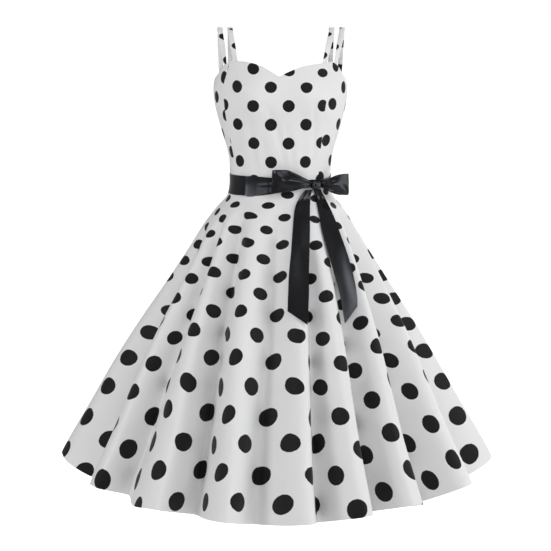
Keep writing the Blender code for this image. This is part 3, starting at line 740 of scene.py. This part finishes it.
def skirt_surface():
    """Points of the whole skirt, rows down and columns round from the left side, and their angles."""
    rows, turns = [], []
    for z in np.linspace(WAIST_Z - SEAM_GAP / 2, HEM_Z, SKIRT_ROWS):
        angles, drops = fold_angles(z)
        lift = smooth("z", HEM_LINE, (angles + 180) % 360 - 180) - HEM_Z
        hung = z + lift * np.clip((z - FOLD_TOP_Z) / (HEM_Z - FOLD_TOP_Z), 0, 1) ** 2
        level = unit(form_normal(angles, hung) * (1, 1, 0))
        rows.append(form(angles, hung) - drops[:, None] * (level + (0, 0, TROUGH_HANG)))
        turns.append(angles)
    points = np.array(rows)
    points = np.concatenate([points, points[:, :1]], axis=1)
    turns = np.array(turns)
    return points, np.concatenate([turns, turns[:, :1] + 360], axis=1)


skirt_points, skirt_angles = skirt_surface()
hem_round = float(run_lengths(skirt_points, 1)[-1, -1])
skirt_drop = float(run_lengths(skirt_points, 0)[-1].mean())
print(f"skirt: hem {hem_round:.3f} m round, {skirt_drop:.3f} m long")

# %% [markdown]
# The print on the skirt is flat on the cloth, and the cloth is a ring: the further from the waist, the
# wider the ring. So a point's place in the print comes from its place on the flat ring: its distance
# from the ring's centre, and its angle on the ring, which is its share of the way round. The cloth was
# eased at the waist, so the print is a little short there and stretched at the hem. A table of drifts
# says by how many dots the print wanders from the even ring. It wanders most in the deep valleys at the
# sides, where the folds take up more cloth than they do at the front.

# %% Print of the skirt
# The flat ring: how far round it goes (radians), its inner radius, how much of the print one metre of
# cloth takes at the waist and far below it, and over what length that changes.
RING_TURN = 3.1902
RING_RADIUS = 0.1624
RING_STEPS = (1.5173, 0.5552)
RING_REACH = 0.30
PRINT_TURN = -0.1022
PRINT_START = (-0.0096, 0.0539)
DRIFT_DEPTHS = (0.00, 0.18, 0.36, 0.56, 0.79)
# Share of the way round from the centre front, then the drift across and up at each of the depths.
ACROSS, UP = slice(1, 6), slice(6, 11)
DRIFTS = np.array(
    [
        (-0.450, -0.48, -0.50, -0.51, -0.53, -0.56, 0.37, 0.36, 0.34, 0.31, 0.27),
        (-0.235, -0.11, -0.50, -0.45, -0.57, -0.54, -0.08, -0.17, 0.05, 0.01, -0.15),
        (-0.200, 0.02, -0.34, -0.55, -0.51, -0.40, -0.07, -0.10, 0.11, 0.11, 0.11),
        (-0.168, 0.12, -0.10, -0.44, -0.46, -0.42, -0.03, 0.08, 0.06, 0.07, 0.13),
        (-0.142, 0.10, -0.04, -0.27, -0.36, -0.25, 0.00, 0.16, 0.24, 0.17, 0.00),
        (-0.126, 0.15, -0.01, -0.24, -0.25, -0.13, 0.02, 0.09, 0.19, 0.17, -0.07),
        (-0.100, 0.18, 0.01, -0.14, -0.06, 0.06, -0.05, 0.12, 0.13, 0.01, 0.03),
        (-0.075, 0.15, 0.01, -0.11, -0.09, 0.08, -0.15, 0.11, 0.18, 0.07, 0.06),
        (-0.055, 0.16, -0.10, -0.21, -0.06, 0.16, -0.13, -0.08, -0.01, -0.15, -0.04),
        (-0.030, 0.18, 0.02, -0.02, 0.09, 0.22, -0.09, -0.05, 0.01, -0.08, -0.03),
        (0.005, 0.16, 0.06, 0.01, -0.06, -0.01, -0.11, 0.05, 0.10, 0.01, 0.00),
        (0.020, 0.17, 0.08, 0.01, -0.06, -0.06, -0.12, 0.02, 0.00, -0.06, 0.05),
        (0.045, 0.23, 0.15, 0.07, -0.02, -0.04, -0.11, 0.03, 0.16, 0.21, 0.17),
        (0.072, 0.30, 0.24, 0.20, 0.09, 0.05, -0.10, 0.08, 0.18, 0.18, 0.23),
        (0.096, 0.38, 0.34, 0.31, 0.33, 0.34, -0.10, 0.11, 0.33, 0.40, 0.37),
        (0.128, 0.51, 0.52, 0.52, 0.46, 0.35, -0.12, 0.16, 0.41, 0.31, 0.29),
        (0.163, 0.65, 0.82, 0.88, 0.67, 0.37, -0.14, 0.07, 0.30, 0.31, 0.35),
        (0.195, 0.73, 0.96, 0.92, 0.95, 0.73, -0.16, -0.08, 0.07, 0.12, 0.16),
        (0.240, 0.73, 0.78, 0.85, 0.65, 0.71, -0.17, -0.17, -0.15, -0.08, -0.22),
        (0.275, 0.74, 0.73, 0.76, 0.67, 0.67, -0.17, -0.17, -0.16, -0.09, -0.15),
        (0.450, 0.92, 0.91, 0.90, 0.89, 0.88, -0.05, -0.05, -0.04, -0.03, -0.02),
    ]
)
print("the print drifts by up to", np.abs(DRIFTS[:, 1:]).max(), "of the way from dot to dot")

# %% The print's place on the flat ring


def knot_weights(knots, at):
    """How much each knot counts at each place, on straight lines between the knots."""
    return np.stack([np.interp(at, knots, row) for row in np.eye(len(knots))], axis=-1)


def smooth_weights(knots, at):
    """How much each knot counts at each place, on smooth curves through the knots."""
    return np.stack([curve(np.array(knots), row, at) for row in np.eye(len(knots))], axis=-1)


def ring_print(points, angles):
    """Flat place of each point of the skirt in the print."""
    across, down = run_lengths(points, 1), run_lengths(points, 0)
    share = across / across[:, -1:]
    share = share - np.array([[np.interp(0, turn, part)] for turn, part in zip(angles, share)])
    near, far = RING_STEPS
    radius = RING_RADIUS + far * down + (near - far) * RING_REACH * (1 - np.exp(-down / RING_REACH))
    x, y = radius * np.sin(RING_TURN * share), radius * np.cos(RING_TURN * share) - RING_RADIUS
    c, s = math.cos(PRINT_TURN), math.sin(PRINT_TURN)
    shares = knot_weights(DRIFTS[:, 0], share)
    depths = smooth_weights(DRIFT_DEPTHS, down)
    drift = [np.einsum("ijk,kl,ijl->ij", shares, DRIFTS[:, part], depths) for part in (ACROSS, UP)]
    u = x * c - y * s - PRINT_START[0] + drift[0] * DOT_PITCH[0]
    v = x * s + y * c - PRINT_START[1] + drift[1] * DOT_PITCH[1]
    return np.stack([u, -v], axis=-1)


skirt_prints = ring_print(skirt_points, skirt_angles)
print("print of the skirt spans", np.round(np.ptp(skirt_prints, axis=(0, 1)), 2), "m")

# %% Skirt gores
GORES = (
    ("skirt_side_front_left", 0, 2),
    ("skirt_front", 2, 7),
    ("skirt_side_front_right", 7, 9),
    ("skirt_side_back_right", 9, 11),
    ("skirt_back_right", 11, 13),
    ("skirt_back_left", 13, 15),
    ("skirt_side_back_left", 15, 17),
)
SKIRT_SEAM_ROLL = (0.0004, 0.0030)
HEM_ROLL = (0.0005, 0.004)

closed = skirt_points[:, :-1]
along_rows = np.roll(closed, -1, axis=1) - np.roll(closed, 1, axis=1)
skirt_normals = unit(np.cross(np.gradient(closed, axis=0), along_rows))
skirt_normals = np.concatenate([skirt_normals, skirt_normals[:, :1]], axis=1)

for name, first_fold, last_fold in GORES:
    span = slice(first_fold * FOLD_COLUMNS, last_fold * FOLD_COLUMNS + 1)
    points = roll_seams(skirt_points[:, span], skirt_normals[:, span], SKIRT_SEAM_ROLL)
    down = run_lengths(points, 0)
    from_hem = down[-1:] - down
    points = roll_edge(points, skirt_normals[:, span], from_hem, HEM_ROLL)
    sewn_edges = np.stack([run_lengths(points, 1), from_hem], axis=-1)
    mesh = grid_on(points, skirt_prints[:, span], sewn_edges)
    piece = finish_piece(name + "_cloth", mesh, skirt_cloth, [name], thickness=CLOTH)

# %% [markdown]
# ## The straps
#
# Two narrow straps go over each shoulder. A strap is a strip of the dress cloth that is sewn into a tube
# and turned, so it is flat, has rounded edges, and shows cut-off dots. Turning the tube pulls the strip
# wider and shorter, so its dots are short too. Each tube is a grid whose columns are wrapped round the
# strap's flat section, and whose rows follow an arch from the front of the bodice to its back.

# %% Straps
STRAP_WIDTH = 0.0125
STRAP_THICKNESS = 0.0020
STRAP_TUCK = 0.012
STRAP_CLEARANCE = 0.0014
STRAP_INSET = CLOTH + SEAM_GAP + STRAP_CLEARANCE + STRAP_THICKNESS / 2
STRAP_STEPS = 56
STRAP_AROUND = 20
STRAP_BLUNTNESS = 0.75
MERGE = 1e-6
# Straps are turned, so no stitch shows: their distance from a sewn edge is put past the stitches.
PAST_STITCHES = 0.02
STRAP_PRINT_EASE = 1.5
# Each strap: the angles of its two ends, where its top stands, and where its print starts.
STRAPS = (
    ("strap_left_outer", -61.0, -114.0, -0.1420, (-0.003, 0.0240)),
    ("strap_left_inner", -45.0, -131.0, -0.1180, (-0.005, 0.0498)),
    ("strap_right_inner", 44.0, 131.0, 0.1215, (0.019, 0.0307)),
    ("strap_right_outer", 61.5, 114.0, 0.1460, (0.021, 0.0548)),
)


def blunt(wave, power):
    """A sine or cosine that stays longer near 1 and -1, for a section with full corners."""
    return np.sign(wave) * np.abs(wave) ** power


def seal(mesh, around):
    """Joins a wrapped grid where it meets itself, and closes its two ends."""
    bmesh.ops.remove_doubles(mesh, verts=mesh.verts[:], dist=MERGE)
    open_edges = [edge for edge in mesh.edges if edge.is_boundary]
    bmesh.ops.holes_fill(mesh, edges=open_edges, sides=around + 2)
    bmesh.ops.recalc_face_normals(mesh, faces=mesh.faces[:])


def strap_end(angle):
    """Points inside the bodice at a strap's end, from its tip up to the top edge, and its breadth."""
    z = smooth("z", NECKLINE, angle) - STRAP_TUCK * np.array([1.0, 0.5, 0.0])
    points = form(np.full(3, angle), z) - STRAP_INSET * form_normal(np.full(3, angle), z)
    return points, unit(form(angle + 1, z[0]) - form(angle - 1, z[0]))


def strap_path(front_angle, back_angle, shoulder_x):
    """Middle line of a strap and its breadth direction, from the front end to the back end."""
    (front, front_breadth), (back, back_breadth) = strap_end(front_angle), strap_end(back_angle)
    first, last = front[-1], back[-1]
    path, breadths = list(front), [front_breadth] * 3
    for turn in np.linspace(0, math.pi, STRAP_STEPS + 1)[1:-1]:
        rise = math.sin(turn)
        foot, breadth = (first, front_breadth) if turn < math.pi / 2 else (last, -back_breadth)
        y = (first[1] + last[1]) / 2 - (last[1] - first[1]) / 2 * math.cos(turn)
        path.append(np.array([foot[0] + (shoulder_x - foot[0]) * rise, y, foot[2] * (1 - rise)]))
        breadths.append(breadth * (1 - rise) ** 2 + np.array([1.0, 0, 0]) * (1 - (1 - rise) ** 2))
    path, breadths = np.array(path + list(back[::-1])), np.array(breadths + [-back_breadth] * 3)
    tangents = unit(np.gradient(path, axis=0))
    breadths = unit(breadths - np.sum(breadths * tangents, axis=1, keepdims=True) * tangents)
    return path, breadths, np.cross(breadths, tangents)


print(len(STRAPS), "straps,", STRAP_WIDTH * 1000, "mm wide")

# %% Sewing the straps
for name, front_angle, back_angle, shoulder_x, print_start in STRAPS:
    path, breadths, outward = strap_path(front_angle, back_angle, shoulder_x)
    around = np.linspace(0, 2 * math.pi, STRAP_AROUND + 1)
    wide, thick = blunt(np.cos(around), STRAP_BLUNTNESS), blunt(np.sin(around), STRAP_BLUNTNESS)
    sides = STRAP_WIDTH / 2 * wide[None, :, None] * breadths[:, None]
    faces = STRAP_THICKNESS / 2 * thick[None, :, None] * outward[:, None]
    points = path[:, None] + sides + faces
    across, down = run_lengths(points, 1), run_lengths(points, 0)
    prints = np.stack([across - print_start[0], (down - print_start[1]) * STRAP_PRINT_EASE], axis=-1)
    sewn_edges = np.stack([down, across + PAST_STITCHES], axis=-1)
    mesh = grid_on(points[:, ::-1], prints[:, ::-1], sewn_edges[:, ::-1])
    seal(mesh, STRAP_AROUND)
    piece = finish_piece(name + "_tube", mesh, dress_cloth, [name])

# %% [markdown]
# ## The ribbon belt
#
# The belt is a satin ribbon round the waist. It lies flat on the left and at the back. Towards the knot
# it is gathered: its edges come together and small folds run along it into the knot.

# %% Belt
BELT_HALF_WIDTH = 0.0235
BELT_Z = -0.3680
KNOT_ANGLE = 39.5
GATHER_ANGLE = 77.0
GATHERED_HALF_WIDTH = 0.0090
GATHERED_RISE = 0.0055
FRONT_RISE = 0.0035
BELT_COLUMNS = 360
BELT_ROWS = 26
# Depth of the small folds in gathered ribbon, how far they may dip, and the slack of the flat part.
PLEAT = 0.0011
DEEPEST_DIP = -0.0003
SLACK = 0.0004
# Left of the bow the ribbon is pulled straight, so it stands off a little where the straight part ends.
STRAIGHT_TURN = math.radians(-26.0)
STRAIGHT_HALF = math.radians(13.0)
STRAIGHT_FADE = 0.16
WAIST_RADIUS = 0.105

belt_angles = KNOT_ANGLE + np.linspace(0, 360, BELT_COLUMNS + 1)
away = np.minimum(belt_angles - KNOT_ANGLE, KNOT_ANGLE + 360 - belt_angles)
gather = 0.5 + 0.5 * np.cos(np.pi * np.clip(away / GATHER_ANGLE, 0, 1))
belt_half = BELT_HALF_WIDTH + (GATHERED_HALF_WIDTH - BELT_HALF_WIDTH) * gather
belt_share = np.linspace(1, -1, BELT_ROWS)[:, None]
belt_rise = GATHERED_RISE * gather + FRONT_RISE * np.clip(np.cos(np.radians(belt_angles)), 0, 1)
belt_z = BELT_Z + belt_rise + belt_half * belt_share
belt_turn = np.broadcast_to(belt_angles, belt_z.shape)
belt_normals = form_normal(belt_turn, belt_z)
pleats = PLEAT * gather * (np.sin(belt_share * 7.5 + 0.6) + 0.5 * np.sin(belt_share * 13.0 + away / 9))
slack = SLACK * np.sin(belt_angles * 0.11 + 1.0) * (1 - belt_share**2)
from_straight = np.abs((np.radians(belt_angles) - STRAIGHT_TURN + np.pi) % (2 * np.pi) - np.pi)
straight = WAIST_RADIUS * (1 / np.cos(np.minimum(from_straight, STRAIGHT_HALF)) - 1)
past = np.maximum(from_straight - STRAIGHT_HALF, 0)
straight = straight * np.exp(-((past / STRAIGHT_FADE) ** 2))
belt_lift = LAY_GAP + RIBBON + np.maximum(pleats, DEEPEST_DIP) + np.abs(slack) + straight
belt_points = form(belt_turn, belt_z) + belt_lift[..., None] * belt_normals
prints = flat_place(belt_points)
mesh = grid_on(belt_points, prints, prints)
bmesh.ops.remove_doubles(mesh, verts=mesh.verts[:], dist=MERGE)
belt = finish_piece("belt_satin", mesh, ribbon_satin, ["belt_ribbon"], thickness=RIBBON)

# %% [markdown]
# ## The bow
#
# The bow is the same ribbon: two loops, two hanging ends and a knot that is wrapped round them. A loop
# goes out along the front, turns at its end and comes back behind. Its cloth is pinched where it goes
# into the knot, so folds fan out from there and die away towards the loop's end.

# %% Loops of the bow
# Each row of a loop, from the knot outwards: x, y, z of its middle, half its height, and its opening.
LOOPS = {
    "bow_loop_left": [
        (0.0721, -0.0946, -0.3605, 0.0065, 0.0036),
        (0.0600, -0.1018, -0.3560, 0.0100, 0.0080),
        (0.0420, -0.1090, -0.3530, 0.0168, 0.0110),
        (0.0200, -0.1155, -0.3497, 0.0243, 0.0120),
        (-0.0020, -0.1175, -0.3503, 0.0262, 0.0105),
        (-0.0170, -0.1170, -0.3514, 0.0270, 0.0070),
    ],
    "bow_loop_right": [
        (0.0970, -0.0795, -0.3630, 0.0065, 0.0036),
        (0.1065, -0.0810, -0.3638, 0.0095, 0.0080),
        (0.1180, -0.0795, -0.3640, 0.0165, 0.0105),
        (0.1340, -0.0745, -0.3640, 0.0225, 0.0110),
        (0.1485, -0.0680, -0.3637, 0.0245, 0.0090),
        (0.1595, -0.0620, -0.3640, 0.0252, 0.0065),
    ],
}
LOOP_STEPS = 40
LOOP_END_STEPS = 10
LOOP_ROWS = 30
LOOP_CROWN = 0.0022
# The far end leans out towards its lower corner, and the corner itself is turned in.
END_LEAN = 0.0016
CORNER = -0.012
# A fold curves across the front of each loop and into the knot: (share of the way out, height) points.
RIDGES = {
    "bow_loop_left": [
        (0.90, 0.75), (0.78, 0.35), (0.68, -0.15), (0.50, -0.55), (0.25, -0.50), (0.10, -0.3),
    ],
    "bow_loop_right": [(0.15, 0.30), (0.40, 0.25), (0.65, -0.10), (0.85, -0.60)],
}
RIDGE = 0.0014
print(len(LOOPS), "loops with", sum(len(line) for line in RIDGES.values()), "points on their folds")

# %% Folding a loop


def through(rows, count):
    """More rows on a smooth curve through the given ones."""
    keys = np.arange(len(rows), dtype=float)
    at = np.linspace(0, len(rows) - 1, count)
    return np.stack([curve(keys, column, at) for column in np.array(rows, float).T], axis=1)


def ridge(out_share, height, line):
    """Height of a soft fold that runs along a line of (share of the way out, height) points."""
    xs, ys = np.array(line).T
    at = np.linspace(0, 1, 40)
    steps = np.linspace(0, 1, len(xs))
    xs, ys = np.interp(at, steps, xs), np.interp(at, steps, ys)
    gaps = np.hypot((out_share[..., None] - xs) * 3.4, height[..., None] - ys)
    near = gaps.min(-1)
    return np.exp(-((near / 0.28) ** 2)) - 0.55 * np.exp(-(((near - 0.55) / 0.26) ** 2))


def loop_points(rows, line):
    """Grid of a loop: out along the front, round the end and back, with the pinch folds."""
    x, y, z, half, opening = through(rows, LOOP_STEPS).T
    middle = np.stack([x, y, z], axis=1)
    tangents = unit(np.gradient(middle, axis=0) * (1, 1, 0))
    forward = np.cross(tangents, (0, 0, 1))
    forward *= np.sign(-forward[:, 1:2])
    turns = np.linspace(0, math.pi, LOOP_END_STEPS + 2)[1:-1, None]
    end_out = forward[-1] * np.cos(turns) + tangents[-1] * np.sin(turns)
    half_open = opening[:, None] / 2
    front, back = middle + half_open * forward, middle - half_open * forward
    lines = np.concatenate([front, middle[-1] + half_open[-1] * end_out, back[::-1]])
    outward = np.concatenate([forward, end_out, -forward[::-1]])
    halves = np.concatenate([half, np.full(LOOP_END_STEPS, half[-1]), half[::-1]])
    out_share = np.linspace(0, 1, LOOP_STEPS)
    out_share = np.concatenate([out_share, np.ones(LOOP_END_STEPS), out_share[::-1]])
    height = np.linspace(1, -1, LOOP_ROWS)[:, None]
    lean = END_LEAN * -height + CORNER * np.clip(-height - 0.55, 0, 1) ** 2
    end = np.clip(out_share - 0.5, 0, 1) * 2
    pinch = np.exp(-((out_share / 0.55) ** 2))
    ripple = np.cos(height * 8.0 + 0.8) + 0.6 * np.cos(height * 15.0 - 0.5)  # uneven folds
    crown = LOOP_CROWN * (1 - height**2) * np.sin(np.pi * np.clip(out_share, 0, 1))
    bend = PLEAT * pinch * ripple * np.sqrt(np.clip(out_share * 3, 0.15, 1)) + crown
    bend = bend + RIDGE * ridge(out_share * np.ones_like(height), height * np.ones_like(out_share), line)
    points = lines + height[..., None] * halves[:, None] * np.array([0, 0, 1.0])
    points = points + bend[..., None] * outward + (lean * end**2)[..., None] * tangents[-1]
    return points, tangents[0, 0] > 0


print("a loop has", LOOP_ROWS, "rows and", 2 * LOOP_STEPS + LOOP_END_STEPS, "columns")

# %% Loops on the dress
for name, rows in LOOPS.items():
    points, goes_right = loop_points(rows, RIDGES[name])
    if not goes_right:
        points = points[:, ::-1]
    prints = flat_place(points)
    mesh = grid_on(points, prints, prints)
    piece = finish_piece(name + "_satin", mesh, ribbon_satin, [name], thickness=RIBBON)

# %% [markdown]
# The hanging ends come out from under the knot, narrow and pleated, and open to the ribbon's full width
# on the skirt. They are cut on the slant. Their edges come from a short table, and they keep just clear
# of the folds behind them.

# %% Hanging ends
TAIL_LIFT = 0.0030
TAIL_CURL = 0.0016
# Each row of an end, from the knot down: x, z of its left edge, x, z of its right edge, and how far the
# right edge is lifted.
TAILS = {
    "bow_tail_left": [
        (0.0590, -0.3734, 0.0765, -0.3734, 0.000),
        (0.0480, -0.3860, 0.0722, -0.3870, 0.000),
        (0.0343, -0.4113, 0.0694, -0.4128, 0.000),
        (0.0283, -0.4561, 0.0685, -0.4577, 0.000),
        (0.0243, -0.5012, 0.0669, -0.5027, 0.001),
        (0.0195, -0.5440, 0.0649, -0.5455, 0.002),
        (0.0171, -0.5889, 0.0644, -0.5903, 0.003),
        (0.0158, -0.6222, 0.0607, -0.6498, 0.004),
    ],
    "bow_tail_right": [
        (0.0790, -0.3734, 0.0950, -0.3734, 0.000),
        (0.0820, -0.3860, 0.1015, -0.3870, 0.001),
        (0.0903, -0.4263, 0.1240, -0.4300, 0.003),
        (0.0966, -0.4597, 0.1373, -0.4640, 0.007),
        (0.1097, -0.5059, 0.1547, -0.5110, 0.011),
        (0.1227, -0.5500, 0.1675, -0.5546, 0.012),
        (0.1356, -0.5960, 0.1754, -0.6000, 0.008),
        (0.1458, -0.6555, 0.1759, -0.6225, 0.004),
    ],
}
TAIL_ROWS = 70
TAIL_COLUMNS = 22


def front_y(x, z, lift):
    """The y of points in front of the skirt's crests, lift away from them."""
    left, right, front, _, square = (smooth(column, SECTIONS, z) for column in REACHES)
    reach, swell = np.where(x > 0, right, left) + lift, 1 + square
    return -(front + lift) * swell * np.sqrt(np.clip(1 - (x / (reach * swell)) ** 2, 0, 1))


for name, rows in TAILS.items():
    left_x, left_z, right_x, right_z, right_lift = through(rows, TAIL_ROWS).T[:, :, None]
    share = np.linspace(0, 1, TAIL_COLUMNS)
    x = left_x + (right_x - left_x) * share
    z = left_z + (right_z - left_z) * share
    down_share = np.linspace(0, 1, TAIL_ROWS)[:, None]
    pleat = PLEAT * np.exp(-((down_share / 0.22) ** 2)) * np.cos(share * 14.0)
    curl = TAIL_CURL * np.sin(down_share * 5.0 + share * 2.0) * down_share
    lift = TAIL_LIFT + RIBBON + right_lift * share**2 + pleat + curl
    points = np.stack([x, front_y(x, z, lift), z], axis=-1)
    across, down = run_lengths(points, 1), run_lengths(points, 0)
    prints = np.stack([down, across], axis=-1)
    mesh = grid_on(points, prints, prints)
    piece = finish_piece(name + "_satin", mesh, ribbon_satin, [name], thickness=RIBBON)

# %% [markdown]
# The knot is a short wrap of the ribbon. Its edges roll under and its middle bulges between three or
# four pleats. It is a grid wrapped round an oval section, so that it closes on itself at the back.

# %% Knot
KNOT_SIZE = (0.0260, 0.0130, 0.0190)
KNOT_Z = -0.3635
KNOT_AROUND = 64
KNOT_ALONG = 28
KNOT_BLUNTNESS = 0.8
SOLID_RIBBON = 0.0010  # the belt's wall in the CAD model, which the knot stands on

knot_place = (np.array(KNOT_ANGLE), np.array(KNOT_Z))
knot_seat = form(*knot_place)
knot_out = unit(form_normal(*knot_place) * (1, 1, 0))
knot_side = np.cross((0, 0, 1.0), knot_out)
knot_middle = knot_seat + knot_out * (LAY_GAP + SOLID_RIBBON + LAY_GAP + KNOT_SIZE[1] / 2)
turn = np.linspace(0, 2 * math.pi, KNOT_AROUND + 1)[:, None]
along = np.linspace(-1, 1, KNOT_ALONG)
barrel = np.sqrt(np.clip(1 - 0.60 * np.abs(along) ** 2.4, 0, 1))
pleat = 1 + 0.045 * np.cos(along * 7.0 + 1.1 * np.sin(turn) + 0.6) + 0.018 * np.cos(along * 17.0 + turn)
radius = barrel * pleat * (1 - 0.55 * np.clip((np.abs(along) - 0.80) / 0.20, 0, 1) ** 2)
outwards = blunt(np.cos(turn), KNOT_BLUNTNESS) * radius * KNOT_SIZE[1] / 2
upwards = blunt(np.sin(turn), KNOT_BLUNTNESS) * radius * KNOT_SIZE[2] / 2
sideways = along * KNOT_SIZE[0] / 2 * 0.97 * np.ones_like(turn)
points = knot_middle + outwards[..., None] * knot_out + sideways[..., None] * knot_side
points = points + upwards[..., None] * np.array([0, 0, 1.0])
points = points[::-1]
prints = flat_place(points)
mesh = grid_on(points, prints, prints)
seal(mesh, KNOT_AROUND)
knot = finish_piece("bow_knot_satin", mesh, ribbon_satin, ["bow_knot"])
knot_cut = (float(prints[:, -1, 0].max()), float(prints[-1, :, 1].max()))
print(f"knot: wrap {knot_cut[0]:.3f} x {knot_cut[1]:.3f} m")

# %% [markdown]
# ## The concealed zip
#
# The centre back seam closes with a concealed zip. From outside only the slider's pull tab shows at the
# top. Inside, a strip of woven tape lies along the seam and carries two rows of small nylon coils.

# %% Zip tape
ZIP_TOP_Z = -0.1315
ZIP_END_Z = -0.430
TAPE_WIDTH = 0.0240
TAPE_THICKNESS = 0.0008
SOLID_CLOTH = 0.0015  # the bodice's wall in the CAD model, which the tape lies behind
TAPE_INSET = SOLID_CLOTH + LAY_GAP
TAPE_ROWS = 60
TAPE_COLUMNS = 13

tape_z = np.linspace(ZIP_TOP_Z, ZIP_END_Z, TAPE_ROWS)[:, None] * np.ones(TAPE_COLUMNS)
reach = math.degrees(TAPE_WIDTH / 2 / float(smooth("right", SECTIONS, WAIST_Z)))
tape_angles = 180 + reach * np.linspace(-1, 1, TAPE_COLUMNS) * np.ones_like(tape_z)
tape_normals = form_normal(tape_angles, tape_z)
points = form(tape_angles, tape_z) - TAPE_INSET * tape_normals
prints = flat_place(points)
mesh = grid_on(points, prints, prints)
wall = TAPE_THICKNESS
tape = finish_piece("zip_tape_strip", mesh, tape_cloth, ["zip_tape"], thickness=wall)

# %% Coil of the zip
COIL_PITCH = 0.0016
COIL_SIDE = 0.0011
COIL_SIZE = (0.0016, 0.0009, 0.0007)
COIL_GAP = 0.0001
# The coil stops this far short of the tape's top and bottom.
COIL_ENDS = (0.004, 0.006)

mesh = bmesh.new()
coil_z = np.arange(ZIP_TOP_Z - COIL_ENDS[0], ZIP_END_Z + COIL_ENDS[1], -COIL_PITCH)
middle_back = np.full(coil_z.shape, 180.0)
depth = TAPE_INSET + TAPE_THICKNESS + COIL_SIZE[1] / 2 + COIL_GAP
for index, (seat, normal) in enumerate(zip(form(middle_back, coil_z), form_normal(middle_back, coil_z))):
    side = COIL_SIDE if index % 2 else -COIL_SIDE
    made = bmesh.ops.create_cube(mesh, size=1.0)
    bmesh.ops.scale(mesh, vec=COIL_SIZE, verts=made["verts"])
    place = Vector(seat - depth * normal) + Vector((side, 0, 0))
    bmesh.ops.translate(mesh, vec=place, verts=made["verts"])
for layer in ("Print", "Sewn"):
    mesh.loops.layers.uv.new(layer)
coil = finish_piece("zip_coil", mesh, tape_cloth, [])
print("zip coil:", len(coil_z), "teeth")

# %% Slider and pull tab
for name in ("zip_slider", "zip_pull"):
    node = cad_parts[name]
    node.data.materials.clear()
    node.data.materials.append(zip_enamel)
    low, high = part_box(name)
    print(name, "keeps its CAD shape,", [round((b - a) * 1000, 1) for a, b in zip(low, high)], "mm")

# %% [markdown]
# ## Floor, light and camera
#
# The dress hangs over a pale, wide floor. Soft lights stand round it: the key at the viewer's upper
# right, weaker ones at the right, the front and the left, and one behind for the views of the back. The
# white world fills the shadows. It is brighter for the camera than for the cloth, so that the background
# is clean and the folds keep their shade.

# %% Floor and world
FLOOR_Z = -1.62
FLOOR_SIZE = 60.0
# How strongly the floor and the world glow: for the cloth, and for the camera.
FLOOR_GLOW = (0.06, 0.85)
WORLD_GLOW = (0.31, 1.0)

pale, n, shader = new_finish("pale_floor")
seen = n.add("ShaderNodeLightPath", output="Is Camera Ray")
set_sockets(n, shader, Base_Color=grey(0.80), Roughness=0.9, Specular_IOR_Level=0.1)
set_sockets(n, shader, Emission_Color=grey(1.0), Emission_Strength=n.blend(seen, *FLOOR_GLOW))

mesh = bmesh.new()
bmesh.ops.create_grid(mesh, x_segments=1, y_segments=1, size=FLOOR_SIZE)
floor = mesh_object("floor", mesh, pale)
floor.location.z = FLOOR_Z

world = bpy.data.worlds.new("white_studio")
bpy.context.scene.world = world
world.use_nodes = True
n = Nodes(world.node_tree)
background = world.node_tree.nodes["Background"]
background.inputs["Color"].default_value = grey(1.0)
seen = n.add("ShaderNodeLightPath", output="Is Camera Ray")
n.feed(background.inputs["Strength"], n.blend(seen, *WORLD_GLOW))
print("floor at", FLOOR_Z)

# %% Lights and camera
# Each light: place, where it points, its size (wide, high) and its power in watts.
LIGHTS = (
    ("key", (2.34, -2.34, 2.09), (0.0, 0.0, -0.5), (1.6, 1.6), 36.0),
    ("side", (2.78, -1.01, 0.02), (0.0, 0.0, -0.5), (1.5, 2.6), 32.0),
    ("front", (0.0, -4.06, 0.59), (0.0, 0.0, -0.5), (1.6, 1.6), 20.0),
    ("left", (-2.10, -1.64, 0.30), (0.0, 0.0, -0.3), (0.9, 1.6), 22.0),
    ("back", (1.18, 3.23, 1.91), (0.0, 0.0, -0.5), (1.6, 1.6), 70.0),
)
for name, place, target, size, power in LIGHTS:
    data = bpy.data.lights.new(name, "AREA")
    data.shape = "RECTANGLE"
    data.size, data.size_y = size
    data.energy = power
    lamp = add_object(name, data)
    lamp.location = place
    lamp.rotation_euler = (Vector(target) - Vector(place)).to_track_quat("-Z", "Y").to_euler()

# The camera looks slightly down at the front, through a long lens.
CAMERA_PLACE = (-0.01104, -3.3, 0.036)
CAMERA_DOWN = 10.829
camera_data = bpy.data.cameras.new("camera")
camera_data.lens = 90.0
camera_data.sensor_width = 36.0
camera = add_object("camera", camera_data)
camera.location = CAMERA_PLACE
camera.rotation_euler = (math.radians(90 - CAMERA_DOWN), 0, 0)
bpy.context.scene.camera = camera
bpy.context.scene.view_settings.view_transform = "Standard"
print(len(LIGHTS), "lights, camera at", tuple(round(value, 3) for value in camera.location))
